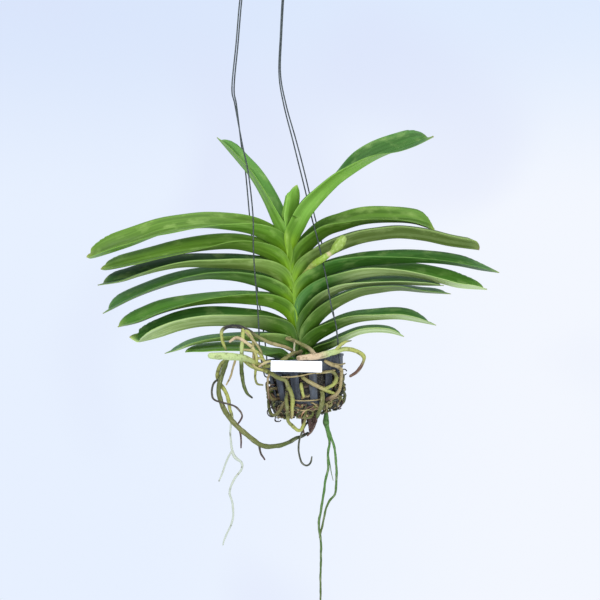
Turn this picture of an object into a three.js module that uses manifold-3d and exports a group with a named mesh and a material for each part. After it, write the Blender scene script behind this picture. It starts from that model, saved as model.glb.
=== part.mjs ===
// A vanda orchid out of flower, growing in a small slatted basket on four thin wires.
// Millimetres, +Z up. The origin is the inside top of the hook that the whole plant hangs from.
// X runs along the fan of leaves and -Y is the side that the plant label faces.
import * as THREE from 'three';
import { mergeVertices } from 'three/addons/utils/BufferGeometryUtils.js';
import Module from 'manifold-3d';

const wasm = await Module();
wasm.setup();

// ---- Driving dimensions ----
const RIM_CENTRE = [12.5, 0, -525.5]; // the middle of the basket's mouth, below the hook
const BASKET_TILT = THREE.MathUtils.degToRad(-5);
const RIM_RADIUS = 46.5;
const RIM_WALL = 2.4;
const RIM_HEIGHT = 16;
const RIM_TAPER = 1.6; // how much narrower the rim's lower edge is
const RIM_LIP = 0.3; // how far the lip stands out
const RIM_LIP_HEIGHT = 2.4;
const SLAT_COUNT = 12;
const FIRST_SLAT_ANGLE = 13; // degrees from the label side, towards +X
const SLAT_WIDTH_TOP = 10;
const SLAT_WIDTH_BOTTOM = 8.6;
const SLAT_RADIUS_TOP = 41;
const SLAT_RADIUS_BOTTOM = 36.6;
const SLAT_THICKNESS = 2.4;
const SLAT_LAP = 2.5; // how far a slat's head runs up into the rim
const SLAT_LAP_REACH = 2.2; // how far it leans out there
const SLAT_FOOT = -50;
const FLOOR_DEPTH = 60;
const FLOOR_THICKNESS = 2.5;
const FLOOR_HOLE_RADIUS = 20;
const FLOOR_BEND = 6; // the rounded corner between the slats and the floor
const WIRE_RADIUS = 0.8;
const HOOK_WIRE_RADIUS = 1.3;
const HOOK_BEND_RADIUS = 11;
const HOOK_TIP = [8.9, 0, -20.5];
const HOOK_NECK = [[-6, 0, -25], [-0.8, 0, -30], [0, 0, -35]];
const COLLAR_RADIUS = 4.5;
const COLLAR_LENGTH = 14;
const COLLAR_BOTTOM = 474.5; // above the rim's centre
const LABEL_SIZE = [57, 0.9, 12.4];
const LABEL_PLACE = [-7.5, -49, -8.3];
const LABEL_CORNER = 1.2;
const LABEL_TILT = THREE.MathUtils.degToRad(1);
const GAP = 0.3; // between neighbouring pieces
const STUB_GAP = 0.5;
const ROOT_STUB = 20; // the first stretch of a live root belongs to the stem
const CROWN_ROOT_STUB = 12;
const BLADE_EDGE = 0.7;
const BLADE_MIDDLE = 1.8;
const BLADE_KEEL = 2.4;
const FOOT_SHARE = 0.6; // of a half's width, where the sheath starts
const FOOT_CLOSING = THREE.MathUtils.degToRad(30); // how much more a sheath closes at its foot
const TIP_STRETCH = 45; // the last stretch of a leaf, with closer rings
const CIRCLE_STEPS = 30;

// Leaves, top to bottom on each side of the fan. A keel is the folded lower edge of a leaf as [x, z]
// from the rim's centre, from the foot of its sheath to its tip. The two halves of the blade rise from
// the keel by the angles near and far, in degrees, at the stations below. Each half ends at its own
// share of the length, because the tips are cut unequally, and is rounded off or drawn out to a point
// over its tip length. The sheath is the clasping part of the keel. It has opened fully at its end, or
// where opens says so. A leaf that leans stands off the fan by the last number of lean, from the first
// to the second length along its keel.
const STATIONS = [0, 0.12, 0.3, 0.55, 0.8, 1];
const WIDTH_STATIONS = [0, 0.12, 0.3, 0.6, 0.85, 1];
const WIDTH_SHARES = [0.8, 0.95, 1, 1, 0.94, 0.9];
const BOW_STATIONS = [0, 0.14, 0.3, 0.6, 1];
const BOW_ANGLES = [80, 40, 0, -10, -10]; // how far a half curves over, from keel to margin
const LEAVES = [
  {
    name: 'leaf_left_1', side: -1, sheath: 47, half: 21, lean: [20, 60, 3],
    near: [60, 60, 30, 18, 12, 8], far: [60, 62, 62, 56, 46, 44],
    nearEnd: 1, farEnd: 0.97, drawnOut: 'near',
    keel: [
      [-18.5, 109], [-23, 127.5], [-32, 147], [-46, 179.5], [-61, 206], [-77, 226], [-99.5, 252.5],
    ],
  },
  {
    name: 'leaf_left_2', side: -1, sheath: 39, half: 24, lean: [20, 60, 3],
    near: [60, 60, 20, -6, 4, 6], far: [60, 64, 60, 52, 72, 70],
    nearEnd: 0.99, farEnd: 1, drawnOut: 'neither', nearTip: 30, farTip: 42,
    keel: [
      [-19.5, 94.5], [-27.5, 121], [-55, 139], [-86, 146], [-121, 148], [-159, 142], [-199, 127],
      [-240, 114], [-249.5, 114.5],
    ],
  },
  {
    name: 'leaf_left_3', side: -1, sheath: 39, half: 22, lean: [20, 60, 2],
    near: [60, 60, 30, 0, -4, 0], far: [60, 64, 60, 57, 50, 45],
    nearEnd: 0.99, farEnd: 1, drawnOut: 'neither', nearTip: 25, farTip: 28,
    keel: [
      [-18.5, 77], [-22, 92], [-32, 106.5], [-49.5, 116.5], [-70, 122.5], [-90, 124], [-118.5, 121.5],
      [-150.5, 116], [-194, 106], [-224, 100], [-233, 100.5],
    ],
  },
  {
    name: 'leaf_left_4', side: -1, sheath: 37, half: 22,
    near: [60, 60, 35, 18, 2, 0], far: [60, 64, 56, 48, 44, 45],
    nearEnd: 1, farEnd: 0.975, drawnOut: 'near',
    keel: [
      [-16, 58.5], [-17, 72.5], [-29, 87.5], [-47, 96.5], [-72.5, 100.5], [-101, 102], [-133.5, 103],
      [-160, 99.5], [-186, 93], [-209, 86], [-236, 82],
    ],
  },
  {
    name: 'leaf_left_5', side: -1, sheath: 37, half: 21,
    near: [60, 60, 35, 12, 2, 0], far: [60, 64, 56, 42, 40, 42],
    nearEnd: 1, farEnd: 0.97, drawnOut: 'near',
    keel: [
      [-14, 40], [-15, 56], [-25, 65.5], [-42.5, 76.5], [-72.5, 86], [-101, 89], [-118.5, 88.5],
      [-141.5, 85], [-168.5, 77], [-194.5, 67], [-219.5, 54.5], [-230, 49.5],
    ],
  },
  {
    name: 'leaf_left_6', side: -1, sheath: 34, half: 21,
    near: [60, 60, 35, 12, 4, 4], far: [60, 64, 50, 40, 52, 50],
    nearEnd: 0.985, farEnd: 0.995, drawnOut: 'neither', nearTip: 20, farTip: 26,
    keel: [
      [-12.5, 22], [-14, 35.5], [-23, 48.5], [-40, 57], [-65.5, 60.5], [-88.5, 61.5], [-115, 60],
      [-141.5, 55.5], [-164.5, 49], [-190, 39], [-213, 34],
    ],
  },
  {
    name: 'leaf_left_7', side: -1, sheath: 28, half: 25,
    near: [60, 60, 38, 30, 28, 10], far: [60, 64, 60, 64, 64, 55],
    nearEnd: 0.935, farEnd: 1, drawnOut: 'neither', nearTip: 22, farTip: 40,
    keel: [
      [-11.5, 1], [-15, 12.5], [-24, 22], [-31.5, 25.5], [-48.5, 31.5], [-68, 34], [-93, 35.5],
      [-118.5, 34.5], [-141.5, 30], [-164.5, 22.5], [-187.5, 17], [-194, 18.5], [-200, 22.5],
    ],
  },
  {
    name: 'leaf_left_8', side: -1, sheath: 26, half: 20,
    near: [60, 55, 30, 16, 8, 4], far: [60, 55, 34, 24, 22, 20],
    nearEnd: 1, farEnd: 0.96, drawnOut: 'near',
    keel: [
      [-8, -6], [-11.5, 3.5], [-22, 10.5], [-40, 16], [-61, 18], [-84, 18.5], [-107, 17], [-127.5, 13],
      [-143.5, 7.5], [-159, 3.5],
    ],
  },
  {
    name: 'leaf_left_9', side: -1, sheath: 26, half: 18,
    near: [60, 40, 8, -4, -4, 0], far: [60, 50, 32, 28, 26, 24],
    nearEnd: 0.98, farEnd: 1, drawnOut: 'near',
    keel: [
      [-7, -12.5], [-12.5, -7], [-24, -3.5], [-40, 0.5], [-61, 7], [-78, 9], [-101, 8.5], [-118.5, 7],
      [-135.5, 5],
    ],
  },
  {
    name: 'leaf_centre', side: 1, sheath: 39, half: 18, lean: [8, 34, -12],
    near: [60, 54, 50, 54, 60, 60], far: [60, 70, 72, 72, 76, 76],
    nearEnd: 0.97, farEnd: 1, drawnOut: 'neither', nearTip: 12, farTip: 15,
    keel: [[-14, 123], [-10.5, 144], [-6.5, 164.5], [-3.8, 180.5], [-4.2, 190], [-6.5, 197]],
  },
  {
    name: 'leaf_right_1', side: 1, sheath: 48, opens: 30, half: 23, lean: [7, 60, -19],
    stations: [0, 0.12, 0.3, 0.46, 0.64, 0.8, 1],
    near: [60, 62, 48, 32, 14, -9, -8], far: [60, 60, 57, 34, 68, 70, 60],
    nearEnd: 1, farEnd: 0.97, drawnOut: 'near',
    keel: [
      [-14, 109], [-8, 127.5], [1, 145], [11.5, 164], [32, 187.5], [49.5, 203], [84, 225], [116, 238],
      [148.5, 250.5],
    ],
  },
  {
    name: 'leaf_right_2', side: 1, sheath: 40, half: 22, lean: [12, 48, 10.5],
    near: [60, 62, 40, 14, 2, 0], far: [60, 63, 69, 71, 62, 62],
    nearEnd: 0.97, farEnd: 1, drawnOut: 'far', farTip: 25,
    keel: [
      [-10.5, 83], [-4.5, 99], [3.5, 116], [26.5, 138], [48.5, 146.5], [71.5, 153], [100, 155],
      [127.5, 153.5], [152, 146],
    ],
  },
  {
    name: 'leaf_right_3', side: 1, sheath: 37, half: 22, lean: [20, 55, 7],
    near: [60, 62, 46, 36, 33, 28], far: [60, 62, 54, 44, 47, 42],
    nearEnd: 1, farEnd: 1, drawnOut: 'neither', nearTip: 12, farTip: 15,
    keel: [
      [-8, 65.5], [-3.5, 81.5], [7, 98], [25.5, 112], [42.5, 121.5], [65.5, 130], [88.5, 134.5],
      [111.5, 136.5], [140.5, 133.5], [169, 127.5], [203.5, 123],
    ],
  },
  {
    name: 'leaf_right_4', side: 1, sheath: 36, half: 22,
    near: [60, 62, 40, 18, 6, 4], far: [60, 62, 52, 46, 42, 38],
    nearEnd: 0.985, farEnd: 1, drawnOut: 'far', farTip: 48,
    keel: [
      [-4.5, 45], [-1, 62], [7, 78], [22, 89], [42.5, 98], [65.5, 103.5], [88.5, 106], [111.5, 107.5],
      [134.5, 108], [157.5, 107], [180.5, 104], [203.5, 99.5], [225.5, 96.5],
    ],
  },
  {
    name: 'leaf_right_5', side: 1, sheath: 37, half: 22,
    near: [60, 62, 40, 20, 12, 14], far: [60, 62, 50, 44, 60, 55],
    nearEnd: 1, farEnd: 0.985, drawnOut: 'near', farTip: 42,
    keel: [
      [-3.5, 26.5], [1, 45], [10.5, 62], [25.5, 74], [42.5, 81.5], [65.5, 89.5], [88.5, 93],
      [111.5, 93], [134.5, 90], [157.5, 84.5], [180.5, 79], [211.5, 77],
    ],
  },
  {
    name: 'leaf_right_6', side: 1, sheath: 38, half: 20,
    near: [60, 62, 36, 14, 9, 10], far: [60, 62, 46, 36, 35, 30],
    nearEnd: 0.99, farEnd: 0.98, drawnOut: 'near',
    keel: [
      [-1, 8], [3.5, 27.5], [11.5, 45], [22, 61], [38, 72], [54, 78], [77, 81.5], [106, 83],
      [134.5, 82], [162, 81.6],
    ],
  },
  {
    name: 'leaf_right_7', side: 1, sheath: 34, half: 20,
    near: [60, 62, 44, 24, 8, 4], far: [60, 62, 50, 30, 22, 20],
    nearEnd: 1, farEnd: 0.975, drawnOut: 'near',
    keel: [
      [1, -3.5], [6, 14], [14, 30], [25.5, 45], [42.5, 58], [65.5, 69], [88.5, 73.5], [111.5, 76],
      [140.5, 73.5], [170, 72],
    ],
  },
  {
    name: 'leaf_right_8', side: 1, sheath: 26, half: 20,
    near: [60, 60, 40, 22, 17, 10], far: [60, 60, 48, 42, 44, 30],
    nearEnd: 1, farEnd: 0.95, drawnOut: 'near', farTip: 26,
    keel: [
      [1, -10.5], [7, 4.5], [17, 17], [31, 26], [48.5, 35], [65.5, 40], [88.5, 42.5], [111.5, 43],
      [134.5, 39.5], [153, 36],
    ],
  },
  {
    name: 'leaf_right_9', side: 1, sheath: 26, half: 16,
    near: [60, 50, 32, 24, 20, 14], far: [60, 55, 44, 36, 32, 26],
    nearEnd: 1, farEnd: 0.97, drawnOut: 'near',
    keel: [
      [3.5, -17], [8, -6], [19.5, 3.5], [34.5, 10.5], [48.5, 18], [65.5, 25.5], [82.5, 28], [100, 27],
      [116, 23],
    ],
  },
];

// Round pieces: every point of a route is [x, y, z, radius] from the rim's centre.
const STEM_CORE = [
  [2, 0, -18, 8], [0, 0, 2, 7], [-4.5, 0, 31, 6], [-9.5, 0, 77, 5.4], [-13, 0, 120, 4.6],
  [-13, 0, 142, 3],
];
const FLOWER_SPIKE = [
  [-8, 1, 86, 2], [-3, -1.5, 91, 2.2], [2.5, -4.6, 96.4, 2.4], [7, -9.2, 101.6, 2.7],
  [10.4, -14, 104.9, 3.1], [14, -19.8, 107.2, 3.6], [19.2, -23.7, 110.4, 3.9], [26, -24.7, 115, 3.5],
  [32.8, -25, 120, 2.9], [37.4, -25.5, 124.5, 5.2], [41.9, -26, 130.2, 6.1], [44.5, -26.5, 133.8, 4.9],
];
const FLOWER_SPIKE_STUB = 15;
const OLD_STEM = [
  [3, 0, -58.2, 8.5], [3, 0, -64, 8.6], [3.8, -1, -71, 7.4], [2.6, -0.5, -77, 4.6],
  [1.6, 0, -81.5, 2.4], [1, 0, -87, 1.5],
];

const ARCHED_ROOT = [
  [0, -2, 8, 1.8], [-4, -9, 3.5, 1.8], [-13.5, -21, 9, 1.9], [-24, -27, 13.5, 2], [-37, -30, 17, 2],
  [-46, -32, 21.5, 2], [-56, -33.5, 27.5, 2.1], [-65, -34.5, 33, 2.2], [-75, -35, 36, 2.3],
  [-86, -35, 35, 2.2], [-91.5, -35, 29.5, 2], [-90.5, -35, 19.5, 1.9], [-86.5, -35, 9.5, 1.2],
];
const DROPPED_ROOT = [
  [-67.5, -34.8, 33, 2.1], [-68, -37, 21, 2.3], [-69, -37, 3, 2.3], [-69.5, -35, -6, 2.4],
  [-68.5, -33, -19.5, 2.3], [-66.5, -32, -32, 2], [-62.5, -31, -40, 1.7], [-57.5, -31, -44.5, 1],
];
const TRUNK_ROOT = [
  [-1, -3, 7, 2.3], [-5.5, -20, 6, 2.3], [-12, -36, 5, 2.3], [-18, -46.5, 2, 2.3],
  [-26, -43.5, -4, 2.3], [-34, -39, -7.5, 2.3], [-43, -36, -8.5, 2.3], [-52.5, -34.5, -6, 2.4],
  [-60.5, -35, -1.5, 2.4], [-73, -35, 1.5, 2.4], [-83, -35, 0.5, 2.5], [-87.5, -35, -7, 2.8],
  [-92, -35, -22, 2.7], [-95, -35, -35.5, 2.7], [-92.5, -34, -48, 2.8], [-86, -32, -62.5, 2.9],
  [-75.5, -30, -75.5, 2.9], [-56.5, -26, -92.5, 2.9], [-44, -22, -100, 2.8], [-30.5, -18, -100.5, 2.6],
  [-18.5, -14, -97.5, 2.4], [-8, -11, -92.5, 2.1], [-1, -9.5, -90, 1.8], [5.5, -8, -86.5, 1.3],
];
const PALE_ROOT = [
  [-83, -35, 0.5, 2.3], [-92.5, -33.5, -7.5, 2.4], [-96.5, -31, -18, 2.3], [-94, -29, -28, 2.2],
  [-88, -30, -37, 2.2], [-84, -31, -47, 2.2], [-82.5, -31, -57.5, 2], [-80, -30, -66, 1.3],
  [-81.5, -29, -76, 1.1], [-82, -28, -90, 1.1], [-80, -27, -104, 1.4], [-77, -27, -112, 1.8],
  [-69.5, -27, -118.5, 1.4], [-70, -27, -126.5, 1.2], [-79, -27, -139, 1.2], [-83, -27, -151.5, 1.2],
  [-80, -27, -163.5, 1.2], [-79.5, -27, -183, 1.1], [-87.5, -27, -201, 1], [-90.5, -27, -211, 0.8],
];
const THIN_ROOT = [
  [-93.5, -34, -22, 1.2], [-100.5, -36, -28.5, 1.2], [-102.5, -37, -40, 1.2], [-98.5, -39, -46.5, 1.1],
  [-83, -38, -51.5, 1], [-74, -36, -55.5, 1.1], [-68.5, -33, -65, 1.1], [-74, -30, -75, 1],
];
const FORWARD_ROOT = [
  [-52.5, -34.5, -6, 2.4], [-60.5, -44, -1, 3], [-70, -54, 2, 3.8], [-84.5, -64, 3.5, 4.3],
  [-101, -72, 4.5, 3.6],
];
const BASKET_ROOT = [
  [-67, -36, -0.5, 2.4], [-60.5, -37, -7, 2.4], [-52, -36, -11, 2.5], [-43.5, -35, -13.5, 2.5],
  [-36, -36.5, -17, 2.5], [-31, -39, -20, 2.4], [-24.5, -42.5, -22.5, 2.3], [-19, -43.5, -25, 2.3],
  [-16.5, -43.5, -31.5, 2.4], [-13.5, -43, -38, 2.4], [-12, -41.5, -45, 2.4], [-12, -38.5, -56, 2.2],
  [-13, -33, -67, 1.7],
];
const SIDE_ROOTLETS = [
  [
    [-66, -34.5, 33, 1.6], [-60, -36, 28, 1.7], [-56, -36.5, 20, 1.6], [-56, -36, 10, 1.5],
    [-55, -34.5, -5, 1.6],
  ],
  [
    [-55, -34.5, -5, 1.6], [-51, -37, 0, 1.7], [-45, -38, -1, 1.7], [-42, -37, -7, 1.5],
  ],
  [
    [-52, -34.5, -6, 1.6], [-54, -35, -19, 1.4], [-52, -35, -28, 1.2], [-45.5, -35, -30, 1],
  ],
  [
    [-66, -34.5, 31, 1.4], [-59, -38, 24, 1.6], [-51, -39, 14, 1.6], [-46.5, -38, 5, 1.5],
    [-43, -36, -8.5, 1.4],
  ],
  [
    [-82, -37, 19, 1.4], [-76, -38.5, 23, 1.9], [-71, -38, 22.5, 1.8], [-68, -37, 19, 1.5],
  ],
  [
    [-75, -35, 1.5, 1.3], [-79, -37, -12, 1.2], [-82, -37.5, -21.5, 1.1], [-86, -38, -29.5, 0.8],
  ],
  [
    [-37, -36.5, -16.5, 1.3], [-39.5, -39, -23, 1.2], [-39.5, -41, -34, 1.2], [-38, -41.5, -45, 0.9],
  ],
  [
    [-72.5, -29, -78.5, 1.1], [-70, -29, -90, 1.1], [-70, -29, -101, 0.8],
  ],
  [
    [-50, -24, -97, 1.4], [-48, -24, -107, 1.2], [-43.5, -24, -115, 0.9],
  ],
  [
    [-80, -27, -104, 1.2], [-85, -26, -113, 1.1], [-90.5, -26, -128, 1], [-95, -26, -139, 0.8],
  ],
];

const CROWN_ROOT = [
  [-12, -4, 23, 1.8], [-19, -15, 21.5, 1.8], [-9.5, -21, 19, 2.1], [1, -27, 14, 2.3],
  [8.5, -35, 9.5, 2.4], [14, -47, 4, 2.4],
];
const LOOPING_ROOT = [
  [-5, -51, 1, 2.6], [5, -51.3, 2, 3.3], [13, -49.6, 2.8, 3.6], [22, -46.4, 4, 3.7],
  [33.5, -37.5, 7, 3.4], [45.5, -31.5, 10, 2.7], [54, -29.5, 9.5, 2.5], [63, -27, 6.5, 2.6],
  [68.5, -26, 1.5, 2.4], [68.5, -26, -3.5, 1.7], [65.5, -26, -9.5, 1.9], [60, -26, -16, 1.9],
  [53.5, -26, -20.5, 1.5],
];

const SLOT_ROOT = [
  [-1.5, -37.5, -19, 2], [0.5, -44, -21.5, 2.2], [7.5, -45, -26, 2.3], [16, -42, -31, 2.3],
  [23.5, -37.5, -34.5, 2.3], [34, -26.5, -40, 2],
];
const UNDER_LABEL_ROOT = [
  [15, -46.8, -15.5, 1.4], [24.5, -42.6, -15.5, 1.4], [31, -38, -14.5, 1.6], [35.5, -34, -17, 2],
  [37.5, -30, -23, 2.2], [34.5, -30, -29, 2.1], [26, -36.5, -33.8, 1.9],
];
const SIDE_ROOT = [
  [24.5, -43.5, -3, 1.6], [31.5, -39, -7, 1.9], [39, -34, -9.5, 2], [43.4, -29.3, -14.5, 2.1],
  [43, -25.5, -23, 2.1], [42, -22, -31, 2.1], [40.5, -22.5, -37, 2.1], [37, -26.5, -41.5, 2.1],
  [33, -31.5, -43.5, 2], [26.5, -36, -46, 1.9],
];
const SLOT_TIP_ROOT = [
  [-1.8, -37.5, -28, 1.5], [-2, -42, -29, 1.8], [-1.4, -44.5, -35, 1.9], [0.5, -43.5, -42, 1.4],
];
const GREEN_ROOT = [
  [20.5, -36, -37.5, 1.9], [21.8, -39, -40, 2.5], [21, -39.5, -48, 2.6], [19.5, -37, -56, 2.5],
  [16, -29, -66, 2],
];
const HOOKED_ROOT = [
  [-17.6, -28.2, -39.5, 1.3], [-18, -36, -41, 1.6], [-18.8, -41, -45, 2], [-18.2, -42, -53, 2],
  [-17.2, -41, -61, 2], [-16.5, -36.5, -70.5, 2], [-12.5, -30, -76, 2], [-6.5, -27, -81.5, 2],
  [-2, -25, -81, 1.9], [0.5, -22, -75.5, 1.8], [3, -18, -67, 1.5],
];
const CURLED_ROOT = [
  [6.8, -9.3, -70, 1.2], [5.2, -12.4, -74, 1.2], [2, -14, -78, 1.2], [-2.5, -15, -88, 1.1],
  [-5, -15, -100.5, 1.1], [-4, -15, -113, 1.1], [-1, -15, -120.5, 1.1], [4, -15, -123, 1.1],
  [8.5, -15, -120, 1.1], [10, -15, -113, 0.8],
];
const LONG_ROOTS = [
  [
    [26.5, -12, -58.8, 1.9], [26.3, -12, -65, 2.6], [26, -12, -73.5, 3.4], [28, -12, -82, 2.6],
    [30, -12, -96.5, 1.5], [28.5, -12, -110, 1.4], [28.5, -12, -127, 1.4], [25.5, -12, -141, 1.4],
    [21, -12, -171.5, 1.4], [18, -12, -189, 1.4], [20.5, -12, -215, 1.3], [20, -12, -244.5, 1.2],
    [20, -12, -276.5, 1.1], [21.5, -12, -299.5, 0.8],
  ],
  [
    [28, -12, -82, 2], [31.5, -13, -89.5, 1.6], [35.5, -14, -102.5, 1.4], [37.5, -14, -118, 1.4],
    [38, -14, -138.5, 1.4], [36.5, -14, -154.5, 1.3], [29.5, -14, -164.5, 1.3], [25, -14, -176.5, 1.2],
    [22, -13, -192, 1.2], [19, -12, -205, 1.1],
  ],
];

// The dead roots that fill the basket, as a profile of [radius, z] round its middle.
const PACKED_CORE = [
  [0, -57.2], [28.4, -57.2], [31.2, -54.5], [33.4, -48], [36.6, -16], [34, -12], [26, -11], [18, -19.2],
  [0, -19.2],
];
// Dead roots woven through the slots: first slot, last slot, their heights, radius and sag.
const WOVEN_ROOTS = [
  [-4, -3, -26, -44, 1.8, 0], [-4, -3, -40, -32, 1.6, 0], [-5, -4, -30, -44, 1.8, 0],
  [2, 3, -24, -38, 1.8, 0], [2, 3, -43, -28, 1.8, 0], [-4, -2, -45, -46, 1.9, 17],
  [2, 4, -45, -46, 1.8, 13],
];

// Wires: [x, y, z] of the centre line, from the collar down to the turned-in end under the rim.
const WIRES = {
  wire_front_left: [
    [-15, -2, 473.4], [-47, -2.5, 453.5], [-67.5, -3, 433], [-72.5, -3, 410], [-77, -3, 358],
    [-81.5, -3, 309], [-78, -8, 289], [-69.5, -20, 244.5], [-62, -23.5, 208.5], [-56.5, -25.5, 159.5],
    [-56, -27, 120], [-53.5, -28, 83.5], [-51.5, -28, 60], [-50, -27, 31.5], [-49, -25.5, 6.5],
    [-45.5, -24, -10], [-43.3, -23, -20.3], [-38.5, -20.4, -22.6],
  ],
  wire_back_left: [
    [-14, 2, 473.4], [-46, 2.5, 456], [-66, 3, 434.5], [-70.5, 3, 411], [-75, 3, 359.5],
    [-79.5, 3, 310], [-77, 9, 290.5], [-72, 18.5, 248], [-67, 22.5, 214.5], [-62.6, 25.5, 166],
    [-57.8, 28, 119.5], [-53.6, 29, 79.5], [-50, 29, 54], [-46.4, 28, 30.5], [-43, 27, 4.5],
    [-41.8, 26, -12], [-41, 25.6, -19.8], [-36.5, 23, -22.4],
  ],
  wire_front_right: [
    [-11.5, -2, 473.8], [-16, -2.5, 459.5], [-22, -3, 435], [-24, -3, 410], [-26, -3, 369.5],
    [-27.5, -3, 325], [-22, -2.5, 289], [-11, -1, 245.5], [0, 1, 201.5], [6.5, 1, 175],
    [10.5, -4, 158], [15, -10, 141.5], [18.5, -13.5, 127], [23, -18.5, 106], [27, -23.5, 86],
    [32.5, -28.5, 54.5], [37, -29, 37.5], [39.5, -28, 15], [41, -26.6, -2], [41.6, -25.8, -13],
    [36.8, -23, -15.7],
  ],
  wire_back_right: [
    [-10.5, 2, 473.8], [-14.5, 2.5, 460.5], [-20, 3, 436.5], [-22.5, 3, 411], [-24.5, 3, 371],
    [-26, 3, 326], [-19.5, 7, 290.5], [-7.5, 16, 249], [4, 21, 205.5], [13.5, 25, 164],
    [22.5, 28, 129], [30.5, 30, 83], [35, 30, 54], [38.5, 28.5, 35], [41.5, 25.5, 13],
    [43.4, 23.6, -4], [43.2, 23.2, -12.5], [39, 21, -15.6],
  ],
};

// ---- Helpers ----

// A hand-made body: rings of equal length joined into a closed skin, with the two ends capped.
function skin(rings, capTriangles) {
  const perRing = rings[0].length;
  const positions = rings.flat(2);
  const triangles = [];
  for (let i = 0; i < rings.length - 1; i += 1) {
    for (let j = 0; j < perRing; j += 1) {
      const next = (j + 1) % perRing;
      const a = i * perRing + j;
      const b = i * perRing + next;
      triangles.push(a, b, b + perRing, a, b + perRing, a + perRing);
    }
  }
  const last = (rings.length - 1) * perRing;
  for (const [a, b, c] of capTriangles) {
    triangles.push(c, b, a);
    triangles.push(a + last, b + last, c + last);
  }
  return faceOutwards({ positions, triangles });
}

function faceOutwards({ positions, triangles }) {
  const corner = (index) => new THREE.Vector3().fromArray(positions, index * 3);
  let volume = 0;
  for (let i = 0; i < triangles.length; i += 3) {
    const [a, b, c] = [corner(triangles[i]), corner(triangles[i + 1]), corner(triangles[i + 2])];
    volume += a.dot(b.cross(c));
  }
  if (volume < 0) triangles.reverse();
  return { positions, triangles };
}

function geometryOf({ positions, triangles }) {
  const geometry = new THREE.BufferGeometry();
  geometry.setAttribute('position', new THREE.Float32BufferAttribute(positions, 3));
  geometry.setIndex(triangles);
  return geometry;
}

function solidOf(geometry) {
  const bare = geometry.clone();
  bare.deleteAttribute('normal');
  bare.deleteAttribute('uv');
  const merged = mergeVertices(bare, 1e-4);
  const vertProperties = Float32Array.from(merged.attributes.position.array);
  const triVerts = Uint32Array.from(merged.index.array);
  return new wasm.Manifold(new wasm.Mesh({ numProp: 3, vertProperties, triVerts }));
}

// One body made of several, with the hollows that they would shut in filled.
function joined(geometries) {
  const union = geometries.map(solidOf).reduce((sum, solid) => sum.add(solid));
  const shells = union.decompose().filter((shell) => shell.volume() > 0);
  const mesh = shells.reduce((sum, shell) => sum.add(shell)).simplify(0.12).getMesh();
  const positions = [];
  for (let i = 0; i < mesh.vertProperties.length; i += mesh.numProp) {
    positions.push(mesh.vertProperties[i], mesh.vertProperties[i + 1], mesh.vertProperties[i + 2]);
  }
  return geometryOf({ positions, triangles: Array.from(mesh.triVerts) });
}

// Eased interpolation of values given at stations along a leaf.
function eased(s, stations, values) {
  const last = stations.length - 1;
  const slope = (j) => {
    if (j <= 0 || j >= last) return 0;
    return (values[j + 1] - values[j - 1]) / (stations[j + 1] - stations[j - 1]);
  };
  let i = 0;
  while (i < last - 1 && s > stations[i + 1]) i += 1;
  const span = stations[i + 1] - stations[i];
  const t = Math.min(Math.max((s - stations[i]) / span, 0), 1);
  const t2 = t * t;
  const t3 = t2 * t;
  return (2 * t3 - 3 * t2 + 1) * values[i] + (t3 - 2 * t2 + t) * span * slope(i)
    + (3 * t2 - 2 * t3) * values[i + 1] + (t3 - t2) * span * slope(i + 1);
}

// ---- Leaves ----

function keelCurve(leaf) {
  const points = leaf.keel.map(([x, z]) => new THREE.Vector3(x, 0, z));
  return new THREE.CatmullRomCurve3(points, false, 'catmullrom', 0.5);
}

// How far a sheath has opened at s, from 0 at its foot to 1 where it stands fully open.
function claspAt(leaf, s, length) {
  return THREE.MathUtils.smoothstep(s * length, 0, leaf.opens ?? leaf.sheath);
}

// The width of one half of a leaf at s, rounded or drawn out at its own end.
function halfWidth(leaf, { name, end, tip }, s, length) {
  const isDrawnOut = leaf.drawnOut === name;
  const body = leaf.half * eased(s, WIDTH_STATIONS, WIDTH_SHARES);
  const tipShare = (tip ?? (isDrawnOut ? 1.25 : 1) * leaf.half) / length;
  const q = THREE.MathUtils.clamp((s - (end - tipShare)) / tipShare, 0, 1);
  const left = isDrawnOut ? 1 - 0.97 * q ** 1.9 : Math.sqrt(1 - q * q);
  const clasped = FOOT_SHARE + (1 - FOOT_SHARE) * claspAt(leaf, s, length);
  return Math.max(body * left, BLADE_EDGE) * clasped;
}

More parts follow.
